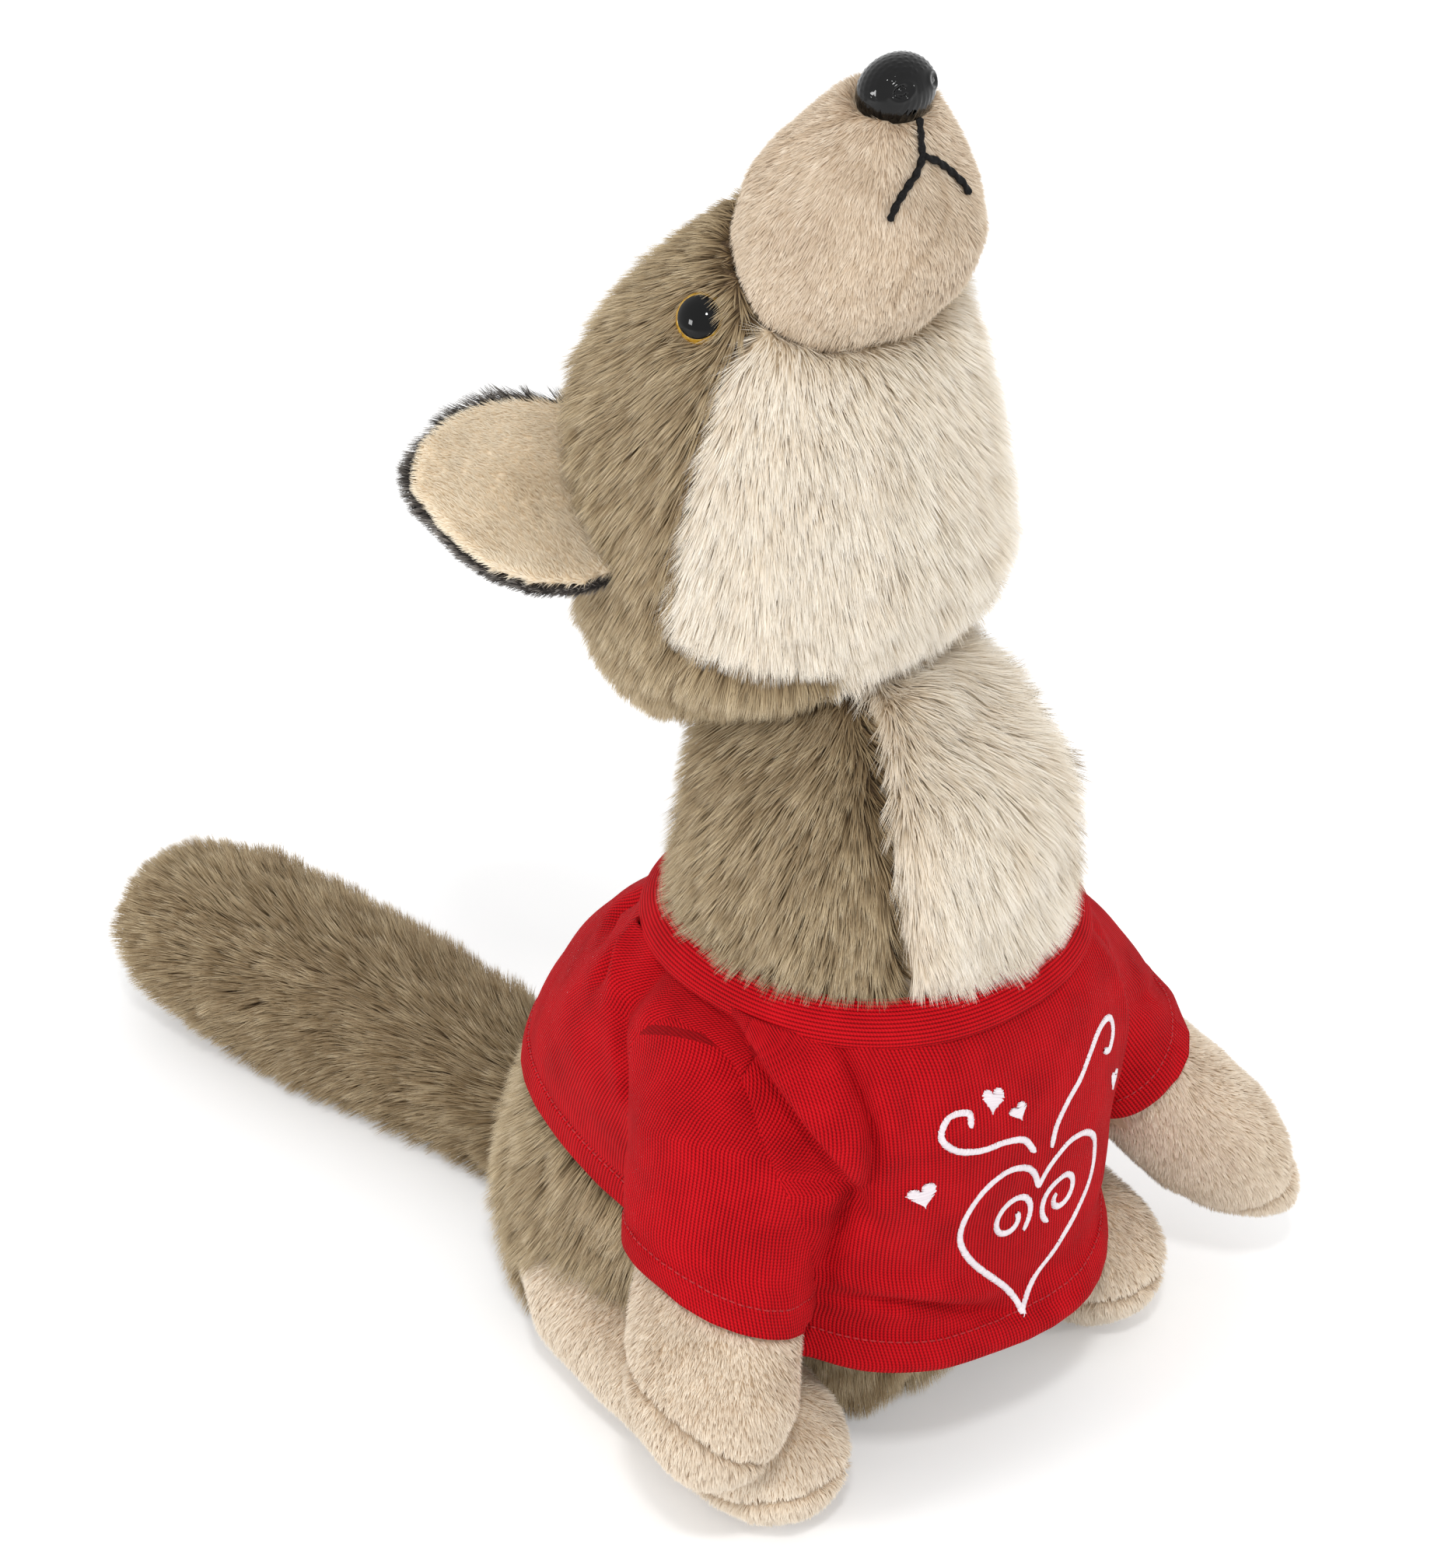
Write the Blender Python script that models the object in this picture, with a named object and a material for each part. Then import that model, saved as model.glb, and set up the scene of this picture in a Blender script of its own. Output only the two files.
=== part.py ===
# Plush wolf sitting with its head thrown back, wearing a short knitted T-shirt.
# Metres. The wolf faces -Y, its left side is +X, up is +Z.
# The origin is the middle of the flat seat it sits on.

import math

import bpy
import bmesh
from mathutils import Vector
from mathutils.bvhtree import BVHTree

# Driving dimensions, millimetres

GAP = 0.3
SEAM = 0.15
KNIT = 1.5
ROUND = 22
REACH = 400

SIDES = {"right": -1, "left": 1}

# Torso sections: height, middle y, half width, half depth

TORSO = (
    (0, 24, 40, 50),
    (5, 22, 49, 60),
    (16, 20, 54.5, 66),
    (34, 17, 57, 70),
    (54, 12, 57, 70),
    (74, 6, 56, 66),
    (92, -1, 54, 61),
    (110, -9, 51.5, 56),
    (126, -16, 49, 51),
    (142, -22, 47, 48),
    (158, -26, 45.5, 45.5),
    (174, -27, 45, 44),
    (188, -27.5, 41.5, 43),
    (199, -24.5, 37, 40.5),
    (208, -19.5, 31, 35),
    (217, -14, 23, 26.5),
    (223, -10, 11, 13),
)

# Cream chest: height, where its right and left seams run in x, how far back it reaches in y

BIB = (
    (58, -16, 16, -22),
    (141, -25, 25, -32),
    (186, -27, 28, -30),
    (197, -25, 30, -22),
    (207, -19, 32, -8),
    (216, -12, 33, 0),
    (226, -8, 33, 6),
)
BIB_FRONT = -160

# Head sections: height, middle y, half width, half depth, slope towards the back

HEAD = (
    (200, 11, 20, 19, -0.26),
    (204, 10, 32, 31, -0.26),
    (212, 8, 41, 40, -0.24),
    (224, 6, 46, 45.5, -0.15),
    (239, 6.5, 48.5, 47.5, -0.06),
    (255, 7, 49, 48.5, 0),
    (269, 7.4, 48.5, 48, 0),
    (283, 7, 46, 45.5, 0),
    (296, 4.5, 41.5, 40, 0),
    (308, 2.2, 36, 32.3, 0),
    (317.5, 0.5, 29.5, 24.5, 0),
    (326, -1.5, 21, 17.5, 0),
    (331.5, -3.5, 11, 9, 0),
)

# Seam of the cheeks: its lower corner in y and z, its lean going up, the slope of its underside

CHEEK_SEAM = {"y": -4.6, "z": 238, "lean": 0.09, "under": 0.25, "top": 420, "front": -160, "half": 90}
JOWL = {"height": 226, "spread": 19, "turn": 52, "width": 32, "out": 4.0}

# Muzzle sections: height, middle y, half width, half depth, slope towards the back

MUZZLE = (
    (299, -13, 14, 13, -0.28),
    (305, -14.5, 21.5, 20.5, -0.26),
    (314, -16.5, 27, 26, -0.2),
    (327, -17.5, 29, 28.5, -0.1),
    (340, -18, 27, 25.5, 0),
    (349, -19.5, 22.8, 20, 0),
    (356.5, -22, 17.5, 14.8, 0),
    (362.5, -24.5, 12, 10.5, 0),
    (366, -26, 6.5, 6, 0),
)

NOSE = {"at": (0, -28, 365.3), "size": (9.9, 8.0, 9.2), "lean": 33}
EYE = {"y": 0.5, "z": 310.5, "sunk": 1.2, "radius": 5.6, "out": (0.76, -0.34, 0.55)}

# Ear: middle of its root, direction of its length and of its width

EAR_ROOT = (41.5, 22.5, 256)
EAR_LONG = (0.684, 0.713, 0.195)
EAR_WIDE = (-0.683, 0.49, 0.55)
EAR_EDGE = (
    (-8, -15, 23),
    (4, -25, 25.5),
    (15, -29, 25.5),
    (25, -27.5, 24),
    (33, -22, 21.5),
    (40.5, -14, 16.5),
    (46, -7.5, 9),
    (48.5, -3.5, 3.5),
)

# Limb stations: x away from the middle, y, z, half width, half thickness, slope of the section

ARM = (
    (32, -16, 130, 11, 9),
    (43, -21, 121, 17, 14),
    (53, -28, 106, 18.5, 15.5),
    (61, -34, 90, 19, 16),
    (67.5, -39, 76, 20.5, 16.5),
    (75, -45, 62, 23, 17.5),
    (80.5, -50.5, 50, 22.5, 17.5),
    (84, -54, 41, 18, 14),
    (86.5, -56.5, 34.5, 11, 9),
    (87.5, -57.5, 32, 4.5, 4),
)
ARM_SPLAY = {"right": (0, 0, 0), "left": (24, -21, -6)}
PAW_SEAM = {"at": (81, -50, 46), "face": (0.5, 0.22, -0.84)}

LEG = (
    (32, 48, 22, 9, 11),
    (36, 41, 22, 18, 18),
    (42, 25, 23.5, 22, 23),
    (47, 6, 22.5, 21.5, 22),
    (51.5, -11, 20.5, 19.5, 20),
    (55, -26, 19.6, 19.5, 19.4),
    (57, -41, 21.7, 21.5, 19.8),
    (57.5, -55, 20.8, 18.5, 17.8),
    (57.5, -63.5, 21.6, 12, 12.5),
    (57.5, -67, 22, 5, 5.5),
)
LEG_SPLAY = {"right": (0, 0, 0), "left": (4, -5, 0)}
SOLE_SEAM = {"at": (57.5, -31, 9), "rise": 0.3}

TAIL = (
    (0, 66, 24, 15, 15),
    (0, 84, 22.5, 18.5, 18.5),
    (-1, 108, 23, 20.5, 20.5),
    (-3, 136, 24, 22.5, 22.5),
    (-6, 164, 25.2, 24, 24),
    (-9.5, 190, 26.6, 24.5, 24.5),
    (-13, 214, 28, 23.5, 24),
    (-15.5, 231, 29, 19.5, 20.5),
    (-17, 241, 29.6, 13, 14),
    (-17.5, 246, 30, 6, 7),
)

# Shirt sections: height, middle y, half width, half depth, slope towards the back

SHIRT = (
    (143.7, -23.7, 51.2, 51.6, 0.02),
    (136, -24.5, 55.5, 56, 0.04),
    (123, -21.5, 61, 62.5, 0.08),
    (109, -17, 64, 67, 0.13),
    (96, -12.5, 64, 70, 0.18),
    (84, -9.5, 62.5, 73, 0.23),
    (77.5, -8.5, 61.5, 74.5, 0.25),
    (71.5, -8, 61, 76, 0.27),
    (67, -8, 61, 76.5, 0.28),
)
SHIRT_SQUARE = 2.6
COLLAR = (
    (152, -24.4, 48.4, 48.8, 0.02),
    (147.5, -24.2, 49.8, 50.2, 0.02),
    (144.2, -24, 51.4, 51.8, 0.02),
)
COLLAR_THICK = 2.2
SLEEVE = (
    (34, -20, 122, 22, 18, 0),
    (45, -24, 117, 26.5, 21.5, 0),
    (53, -28.5, 106, 27, 22, 0.1),
    (59.5, -33, 94, 26.5, 21.5, 0.22),
    (64, -36.5, 84, 25.5, 21, 0.34),
    (67.2, -39, 75, 25, 20.5, 0.42),
)

# Front motif in thread: heart outline with a scroll, and four small hearts

MOTIF = {"x": 0.0, "z": 80.0, "width": 25.0, "height": 26.5, "tilt": -6, "thread": 0.75, "lift": 0.35}
SMALL_HEARTS = ((-36, 104, 3.8, 14), (-16, 124.5, 3.3, -12), (-8.5, 118, 2.6, 16), (33.5, 104, 2.6, -14))

MOUTH = {"thread": 0.75, "lift": 0.3}


def mm(*xyz):
    return Vector(xyz) * 0.001


def clear_scene():
    for thing in list(bpy.data.objects):
        bpy.data.objects.remove(thing, do_unlink=True)


def group(name, hidden=False):
    made = bpy.data.collections.new(name)
    bpy.context.scene.collection.children.link(made)
    made.hide_render = hidden
    return made


def material(name, colour, rough, coat=0.0):
    made = bpy.data.materials.new(name)
    made.use_nodes = True
    made.diffuse_color = (*colour, 1)
    shader = made.node_tree.nodes["Principled BSDF"]
    shader.inputs["Base Color"].default_value = (*colour, 1)
    shader.inputs["Roughness"].default_value = rough
    shader.inputs["Coat Weight"].default_value = coat
    return made


def loop(centre, wide, deep, a, b, count=ROUND, square=2.0, slope=0.0, shape=None):
    """One closed section: points around a squared ellipse, starting at its front."""
    points = []
    for i in range(count):
        turn = 2 * math.pi * i / count
        across = math.sin(turn)
        front = -math.cos(turn)
        p = square
        size = (abs(across) ** p + abs(front) ** p) ** (-1 / p)
        out = 0.0 if shape is None else shape(turn)
        x = (a + out) * across * size
        y = (b + out) * front * size
        spot = mm(*centre) + Vector(wide) * x * 0.001 + Vector(deep) * y * 0.001
        points.append(spot + mm(0, 0, slope * y))
    return points


def body_of(name, loops, slot, where, ring_closed=False, smooth=True):
    """A closed skin through the sections, with fans at both ends or joined end to start."""
    mesh = bpy.data.meshes.new(name)
    shape = bmesh.new()
    rows = [[shape.verts.new(p) for p in points] for points in loops]
    count = len(rows[0])
    pairs = list(zip(rows, rows[1:]))
    if ring_closed:
        pairs.append((rows[-1], rows[0]))
    for low, high in pairs:
        for i in range(count):
            j = (i + 1) % count
            shape.faces.new((low[i], low[j], high[j]))
            shape.faces.new((low[i], high[j], high[i]))
    if not ring_closed:
        for row, order in ((rows[0], 1), (rows[-1], -1)):
            tip = shape.verts.new(sum((v.co for v in row), Vector()) / count)
            for i in range(count):
                j = (i + 1) % count
                corners = (row[j], row[i], tip) if order == 1 else (row[i], row[j], tip)
                shape.faces.new(corners)
    bmesh.ops.recalc_face_normals(shape, faces=shape.faces)
    for face in shape.faces:
        face.smooth = smooth
    shape.to_mesh(mesh)
    shape.free()
    made = bpy.data.objects.new(name, mesh)
    where.objects.link(made)
    if slot is not None:
        made.data.materials.append(slot)
    else:
        made.display_type = "WIRE"
        made.hide_render = True
    return made


def trim(target, cutter, way="DIFFERENCE"):
    cut = target.modifiers.new(way.title() + " " + cutter.name, "BOOLEAN")
    cut.operation = way
    cut.solver = "EXACT"
    cut.object = cutter


def stack(rows, grow=0.0, count=ROUND, square=2.0, shape=None, ends=True):
    """Sections stacked up or down, each one level or sloping towards the back."""
    loops = []
    last = len(rows) - 1
    way = 1 if rows[-1][0] > rows[0][0] else -1
    for k, row in enumerate(rows):
        z, y, a, b = row[:4]
        slope = row[4] if len(row) > 4 else 0.0
        lift = 0.0
        if ends and k in (0, last) and z > 1:
            lift = way * grow * (-1 if k == 0 else 1)
        bend = None if shape is None else lambda turn, k=k: shape(turn, rows[k][0], k / last)
        loops.append(
            loop((0, y, z + lift), (1, 0, 0), (0, 1, 0), a + grow, b + grow, count, square, slope, bend)
        )
    return loops


def limb(rows, side, move=(0, 0, 0), grow=0.0, count=18, wide=(0, 1, 0), shape=None, ends=True):
    """Sections along a limb, square to its run; the first measure lies along the wide direction."""
    run = []
    last = len(rows) - 1
    for k, row in enumerate(rows):
        far = (k / last) ** 1.3
        run.append(Vector((side * (row[0] + far * move[0]), row[1] + far * move[1], row[2] + far * move[2])))
    loops = []
    for k, row in enumerate(rows):
        ahead = (run[min(k + 1, last)] - run[max(k - 1, 0)]).normalized()
        first = (Vector(wide) - ahead * ahead.dot(Vector(wide))).normalized()
        second = ahead.cross(first) * side
        bend = None if shape is None else lambda turn, k=k: shape(turn, k / last)
        slope = row[5] if len(row) > 5 else 0.0
        push = Vector()
        if ends and k in (0, last):
            push = ahead * grow * (-1 if k == 0 else 1)
        loops.append(
            loop(run[k] + push, second, first, row[4] + grow, row[3] + grow, count, 2.0, slope, bend)
        )
    return loops


def wall(outer, thick, rows, **kind):
    """Open-ended skin of one thickness: the outer sections down, the inner ones back up."""
    inner = outer(rows, grow=-thick, ends=False, **kind)
    return outer(rows, **kind) + list(reversed(inner))


def hide(made, where):
    for home in list(made.users_collection):
        home.objects.unlink(made)
    where.objects.link(made)
    made.display_type = "WIRE"
    made.hide_render = True
    return made


def half_space(name, at, face, where, back=0.0, size=REACH):
    """Big box whose one flat side passes through a point, square to a direction."""
    bpy.ops.mesh.primitive_cube_add(size=1)
    made = bpy.context.object
    made.name = name
    made.scale = (size * 0.001,) * 3
    face = Vector(face).normalized()
    made.rotation_mode = "QUATERNION"
    made.rotation_quaternion = face.to_track_quat("Z", "Y")
    made.location = mm(*at) + face * (size / 2 + back) * 0.001
    return hide(made, where)


def jowl(turn, z, _):
    """Fullness of the cheeks on both sides of the throat."""
    angle = math.degrees(turn)
    angle = angle - 360 if angle > 180 else angle
    up = math.exp(-(((z - JOWL["height"]) / JOWL["spread"]) ** 2))
    side = math.exp(-(((abs(angle) - JOWL["turn"]) / JOWL["width"]) ** 2))
    return JOWL["out"] * up * side


def drape(turn, z, down):
    """Soft folds of the shirt: waves at the hem, gathers at the back of the shoulders."""
    angle = math.degrees(turn)
    angle = angle - 360 if angle > 180 else angle
    wave = 1.4 * math.sin(5 * turn + 0.5) * down ** 2
    back = max(0.0, (abs(angle) - 95) / 85)
    gather = (2.5 + 2.0 * math.cos(math.radians(angle * 9))) * back * math.exp(-(((down - 0.3) / 0.25) ** 2))
    front = math.exp(-((angle / 55) ** 2))
    roll = 1.6 * front * (math.exp(-(((down - 0.93) / 0.09) ** 2)) - math.exp(-(((down - 0.76) / 0.1) ** 2)))
    return wave + gather + roll


def crumple(turn, down):
    """Folds of a sleeve pulled along the arm."""
    return 1.1 * math.sin(3 * turn + 7 * down) * math.sin(math.pi * min(1.0, down * 1.3))


def groove(turn, along):
    """Seam pressed into the tail along both flanks."""
    near = min(abs(turn - math.radians(d)) for d in (100, 280))
    return -3.0 * math.exp(-((near / 0.2) ** 2)) * math.sin(math.pi * min(1.0, along * 1.2 + 0.05))


def skin_tree(loops):
    """Search tree of a stack of sections, to lay things on its outside."""
    points = [p for row in loops for p in row]
    count = len(loops[0])
    faces = []
    for k in range(len(loops) - 1):
        for i in range(count):
            j = (i + 1) % count
            a = k * count
            faces.append((a + i, a + j, a + count + j, a + count + i))
    return BVHTree.FromPolygons(points, faces)


def on_front(tree, x, z, lift):
    """Point a little way off the skin, straight in front of (x, z)."""
    spot, face, _, _ = tree.ray_cast(mm(x, -300, z), Vector((0, 1, 0)))
    if face.y > 0:
        face = -face
    return spot + face * lift * 0.001


def thread_line(name, points, radius, slot, where, round_by=0):
    """Round thread along a run of points."""
    line = bpy.data.curves.new(name, "CURVE")
    line.dimensions = "3D"
    line.bevel_depth = radius * 0.001
    line.bevel_resolution = round_by
    line.use_fill_caps = True
    run = line.splines.new("POLY")
    run.points.add(len(points) - 1)
    for spot, place in zip(points, run.points):
        place.co = (*spot, 1)
    made = bpy.data.objects.new(name, line)
    where.objects.link(made)
    line.materials.append(slot)
    return made


clear_scene()
wolf = group("plush_wolf")
cutters = group("cutters", hidden=True)

fur_brown = material("fur_brown", (0.26, 0.20, 0.14), 0.95)
fur_cream = material("fur_cream", (0.72, 0.64, 0.53), 0.95)
fur_dark = material("fur_dark", (0.09, 0.08, 0.075), 0.95)
pile_tan = material("pile_tan", (0.62, 0.49, 0.36), 0.95)
pile_beige = material("pile_beige", (0.70, 0.56, 0.41), 0.95)
knit_red = material("knit_red", (0.58, 0.012, 0.02), 0.85)
thread_white = material("thread_white", (0.86, 0.83, 0.80), 0.6)
floss_black = material("floss_black", (0.012, 0.012, 0.012), 0.5)
nose_black = material("nose_black", (0.008, 0.008, 0.009), 0.12, 0.6)
eye_black = material("eye_black", (0.006, 0.006, 0.007), 0.05, 1.0)
eye_amber = material("eye_amber", (0.38, 0.24, 0.05), 0.15, 1.0)

# Torso with the cream chest let into its front

torso = body_of("torso", stack(TORSO), fur_brown, wolf)
chest = body_of("chest", stack(TORSO), fur_cream, wolf)
torso_room = body_of("torso_room", stack(TORSO, grow=GAP), None, cutters)


def bib(name, ease):
    """Tapered wedge that marks the cream chest, wide at the throat and narrow at the belly."""
    rows = []
    for z, right, left, back in BIB:
        x = (right + ease, left - ease)
        y = (BIB_FRONT, back - ease)
        rows.append([mm(x[0], y[0], z), mm(x[1], y[0], z), mm(x[1], y[1], z), mm(x[0], y[1], z)])
    rows[0] = [p + mm(0, 0, ease) for p in rows[0]]
    return body_of(name, rows, None, cutters, smooth=False)


trim(torso, bib("bib_room", -SEAM))
trim(chest, bib("bib", SEAM), "INTERSECT")

# Head: brown crown behind the seam, cream cheeks in front of it, tan muzzle let in on top

crown = body_of("crown", stack(HEAD, shape=jowl), fur_brown, wolf)
cheeks = body_of("cheeks", stack(HEAD, shape=jowl), fur_cream, wolf)
head_room = body_of("head_room", stack(HEAD, grow=GAP, shape=jowl), None, cutters)
muzzle = body_of("muzzle", stack(MUZZLE), pile_tan, wolf)
muzzle_room = body_of("muzzle_room", stack(MUZZLE, grow=GAP), None, cutters)


def cheek_wedge(name, ease):
    """Wedge that marks the cream cheeks: in front of the face seam and above its underside."""
    y = CHEEK_SEAM["y"] - ease
    z = CHEEK_SEAM["z"] + ease
    top = CHEEK_SEAM["top"]
    front = CHEEK_SEAM["front"]
    profile = (
        (y, z),
        (y - CHEEK_SEAM["lean"] * (top - z), top),
        (front, top),
        (front, z + CHEEK_SEAM["under"] * (front - y)),
    )
    rows = [[mm(x, py, pz) for py, pz in profile] for x in (-CHEEK_SEAM["half"], CHEEK_SEAM["half"])]
    return body_of(name, rows, None, cutters, smooth=False)


trim(crown, cheek_wedge("cheek_room", -SEAM))
trim(cheeks, cheek_wedge("cheek_side", SEAM), "INTERSECT")
for piece in (crown, cheeks):
    trim(piece, torso_room)
    trim(piece, muzzle_room)

# Nose: glossy moulded cap on the end of the muzzle


def ball(name, at, size, lean, slot, where, grow=0.0, segments=14, rings=9):
    bpy.ops.mesh.primitive_uv_sphere_add(segments=segments, ring_count=rings, radius=1)
    made = bpy.context.object
    made.name = name
    made.scale = [(s + grow) * 0.001 for s in size]
    made.rotation_euler = (math.radians(lean), 0, 0)
    made.location = mm(*at)
    for home in list(made.users_collection):
        home.objects.unlink(made)
    where.objects.link(made)
    for face in made.data.polygons:
        face.use_smooth = True
    if slot is not None:
        made.data.materials.append(slot)
    else:
        made.display_type = "WIRE"
        made.hide_render = True
    return made


nose = ball("nose", NOSE["at"], NOSE["size"], NOSE["lean"], nose_black, wolf)
nose_room = ball("nose_room", NOSE["at"], NOSE["size"], NOSE["lean"], None, cutters, grow=GAP)
trim(muzzle, nose_room)

# Mouth: two lines of black floss from under the nose

muzzle_tree = skin_tree(stack(MUZZLE))
mouth_runs = {
    "mouth_long": (
        (-1.6, 360),
        (-2.1, 357),
        (-2.5, 354),
        (-4, 351.4),
        (-7, 348.6),
        (-11, 345),
        (-14, 341.6),
    ),
    "mouth_short": ((-0.3, 351.8), (2.4, 349.8), (5, 347.3), (7.4, 344.2), (8.8, 341.2)),
}
for name, run in mouth_runs.items():
    spots = [on_front(muzzle_tree, x, z, MOUTH["thread"] + MOUTH["lift"]) for x, z in run]
    thread_line(name, spots, MOUTH["thread"], floss_black, wolf, 1)

# Eyes: black domes in an amber rim, set in the crown

head_tree = skin_tree(stack(HEAD, shape=jowl))
for word, side in SIDES.items():
    out = Vector((side * EYE["out"][0], EYE["out"][1], EYE["out"][2])).normalized()
    cheek_bone = head_tree.ray_cast(mm(side * REACH, EYE["y"], EYE["z"]), Vector((-side, 0, 0)))[0]
    spot = cheek_bone - mm(side * EYE["sunk"], 0, 0)
    aim = out.to_track_quat("Z", "Y")

    def turned(name, profile, slot, where, ring_closed=False):
        loops = []
        for r, h in profile:
            row = []
            for i in range(12):
                a = 2 * math.pi * i / 12
                row.append(spot + aim @ mm(r * math.cos(a), r * math.sin(a), h))
            loops.append(row)
        return body_of(name, loops, slot, where, ring_closed)

    r = EYE["radius"]
    dome = ((1.2, -4), (r - 1.5, -3.8), (r - 1.3, 0.6), (r - 1.5, 1.7), (r - 2.4, 2.7), (1.4, 3.3))
    turned("eye_" + word, dome, eye_black, wolf)
    rim = ((r, -3), (r, -0.4), (r - 0.3, 0.5), (r - 0.65, 0.65), (r - 0.95, -0.2), (r - 0.95, -3))
    turned("iris_" + word, rim, eye_amber, wolf, True)
    socket = turned("socket_" + word, ((1, -4.5), (r + GAP, -4.4), (r + GAP, 5), (1, 5.2)), None, cutters)
    trim(crown, socket)
    trim(cheeks, socket)

# Ears: dark furred back and a beige lining cupped towards the front


def ear_sheet(side, inset, lift):
    root = Vector((side * EAR_ROOT[0], EAR_ROOT[1], EAR_ROOT[2]))
    long = Vector((side * EAR_LONG[0], EAR_LONG[1], EAR_LONG[2])).normalized()
    wide = Vector((side * EAR_WIDE[0], EAR_WIDE[1], EAR_WIDE[2]))
    wide = (wide - long * long.dot(wide)).normalized()
    face = long.cross(wide).normalized() * (1 if side < 0 else -1)
    if face.z < 0:
        face = -face
    rows = []
    for s, low, high in EAR_EDGE:
        s = min(s, EAR_EDGE[-1][0] - inset)
        row = []
        for i in range(8):
            t = low + inset + (high - low - 2 * inset) * i / 7
            cup = 5.5 * (t / 27) ** 2 + 3.5 * max(0.0, -t / 27) ** 2 - 3.0 * math.exp(-((s / 18) ** 2))
            row.append((root + long * s + wide * t + face * (cup + lift)) * 0.001)
        rows.append(row)
    return rows


def sheet_body(name, front, back, slot):
    mesh = bpy.data.meshes.new(name)
    shape = bmesh.new()
    top = [[shape.verts.new(p) for p in row] for row in front]
    low = [[shape.verts.new(p) for p in row] for row in back]
    for grid in (top, low):
        for a, b in zip(grid, grid[1:]):
            for i in range(len(a) - 1):
                shape.faces.new((a[i], a[i + 1], b[i + 1], b[i]))
    rim_top = top[0] + [r[-1] for r in top[1:]] + top[-1][-2::-1] + [r[0] for r in top[-2:0:-1]]
    rim_low = low[0] + [r[-1] for r in low[1:]] + low[-1][-2::-1] + [r[0] for r in low[-2:0:-1]]
    for i in range(len(rim_top)):
        j = (i + 1) % len(rim_top)
        shape.faces.new((rim_top[i], rim_top[j], rim_low[j], rim_low[i]))
    bmesh.ops.recalc_face_normals(shape, faces=shape.faces)
    for face in shape.faces:
        face.smooth = True
    shape.to_mesh(mesh)
    shape.free()
    made = bpy.data.objects.new(name, mesh)
    wolf.objects.link(made)
    made.data.materials.append(slot)
    return made


for word, side in SIDES.items():
    shell = sheet_body("ear_" + word, ear_sheet(side, 0, -2 * GAP), ear_sheet(side, 0.6, -3.4), fur_dark)
    lining = sheet_body("ear_lining_" + word, ear_sheet(side, 2.4, 2.2), ear_sheet(side, 1.6, 0), pile_beige)
    trim(shell, head_room)
    trim(lining, head_room)

# Legs: stubby, flat on the ground, with the sole let in under the foot

leg_rooms = {}
for word, side in SIDES.items():
    move = LEG_SPLAY[word]
    parts = {}
    for name in ("leg_", "sole_"):
        parts[name] = body_of(name + word, limb(LEG, side, move, wide=(0, 0, 1)), pile_tan, wolf)
        trim(parts[name], torso_room)
    leg_rooms[word] = body_of("leg_room_" + word, limb(LEG, side, move, GAP, wide=(0, 0, 1)), None, cutters)
    x, y, z = (a + b for a, b in zip(SOLE_SEAM["at"], move))
    up = (0, SOLE_SEAM["rise"], 1)
    down = (0, -SOLE_SEAM["rise"], -1)
    trim(parts["leg_"], half_space("sole_side_" + word, (side * x, y, z), down, cutters, back=-SEAM))
    trim(parts["sole_"], half_space("foot_side_" + word, (side * x, y, z), up, cutters, back=-SEAM))

# Arms: hanging from the shoulders, with a pad let in at the paw

for word, side in SIDES.items():
    move = ARM_SPLAY[word]
    parts = {}
    for name in ("arm_", "paw_"):
        parts[name] = body_of(name + word, limb(ARM, side, move), pile_tan, wolf)
        trim(parts[name], torso_room)
        trim(parts[name], leg_rooms[word])
    x, y, z = (a + b for a, b in zip(PAW_SEAM["at"], move))
    fx, fy, fz = PAW_SEAM["face"]
    down = (side * fx, fy, fz)
    up = (-side * fx, -fy, -fz)
    trim(parts["arm_"], half_space("paw_side_" + word, (side * x, y, z), down, cutters, back=-SEAM))
    trim(parts["paw_"], half_space("arm_side_" + word, (side * x, y, z), up, cutters, back=-SEAM))

# Tail: straight back along the ground

tail = body_of("tail", limb(TAIL, 1, wide=(0, 0, 1), count=20, shape=groove), fur_brown, wolf)
trim(tail, torso_room)

# Shirt: front and back panels, rib collar and two short sleeves

shirt_kind = {"count": 32, "square": SHIRT_SQUARE, "shape": drape}
shirt_loops = wall(stack, KNIT, SHIRT, **shirt_kind)
shirt_front = body_of("shirt_front", shirt_loops, knit_red, wolf, ring_closed=True)
shirt_back = body_of("shirt_back", shirt_loops, knit_red, wolf, ring_closed=True)
side_seam = (0, -37, 100)
trim(shirt_front, half_space("back_side", side_seam, (0, 1, 0), cutters, back=-SEAM))
trim(shirt_back, half_space("front_side", side_seam, (0, -1, 0), cutters, back=-SEAM))

collar_kind = {"count": 24, "square": 2.1}
collar_loops = wall(stack, COLLAR_THICK, COLLAR, **collar_kind)
collar = body_of("collar", collar_loops, knit_red, wolf, ring_closed=True)
trim(collar, torso_room)

for word, side in SIDES.items():
    part = tuple(m * 0.42 for m in ARM_SPLAY[word])
    kind = {"count": 18, "side": side, "move": part, "shape": crumple}
    loops = wall(limb, KNIT, SLEEVE, **kind)
    sleeve = body_of("sleeve_" + word, loops, knit_red, wolf, ring_closed=True)
    trim(sleeve, torso_room)
    solid = body_of("sleeve_room_" + word, limb(SLEEVE, side, part, GAP, 18, shape=crumple), None, cutters)
    arm_room = body_of("arm_room_" + word, limb(ARM, side, ARM_SPLAY[word], GAP), None, cutters)
    trim(sleeve, arm_room)
    for piece in (shirt_front, shirt_back):
        trim(piece, arm_room)
        trim(piece, solid)
    trim(collar, solid)

# Thread motif on the front of the shirt

shirt_tree = skin_tree(stack(SHIRT, **shirt_kind))


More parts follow.
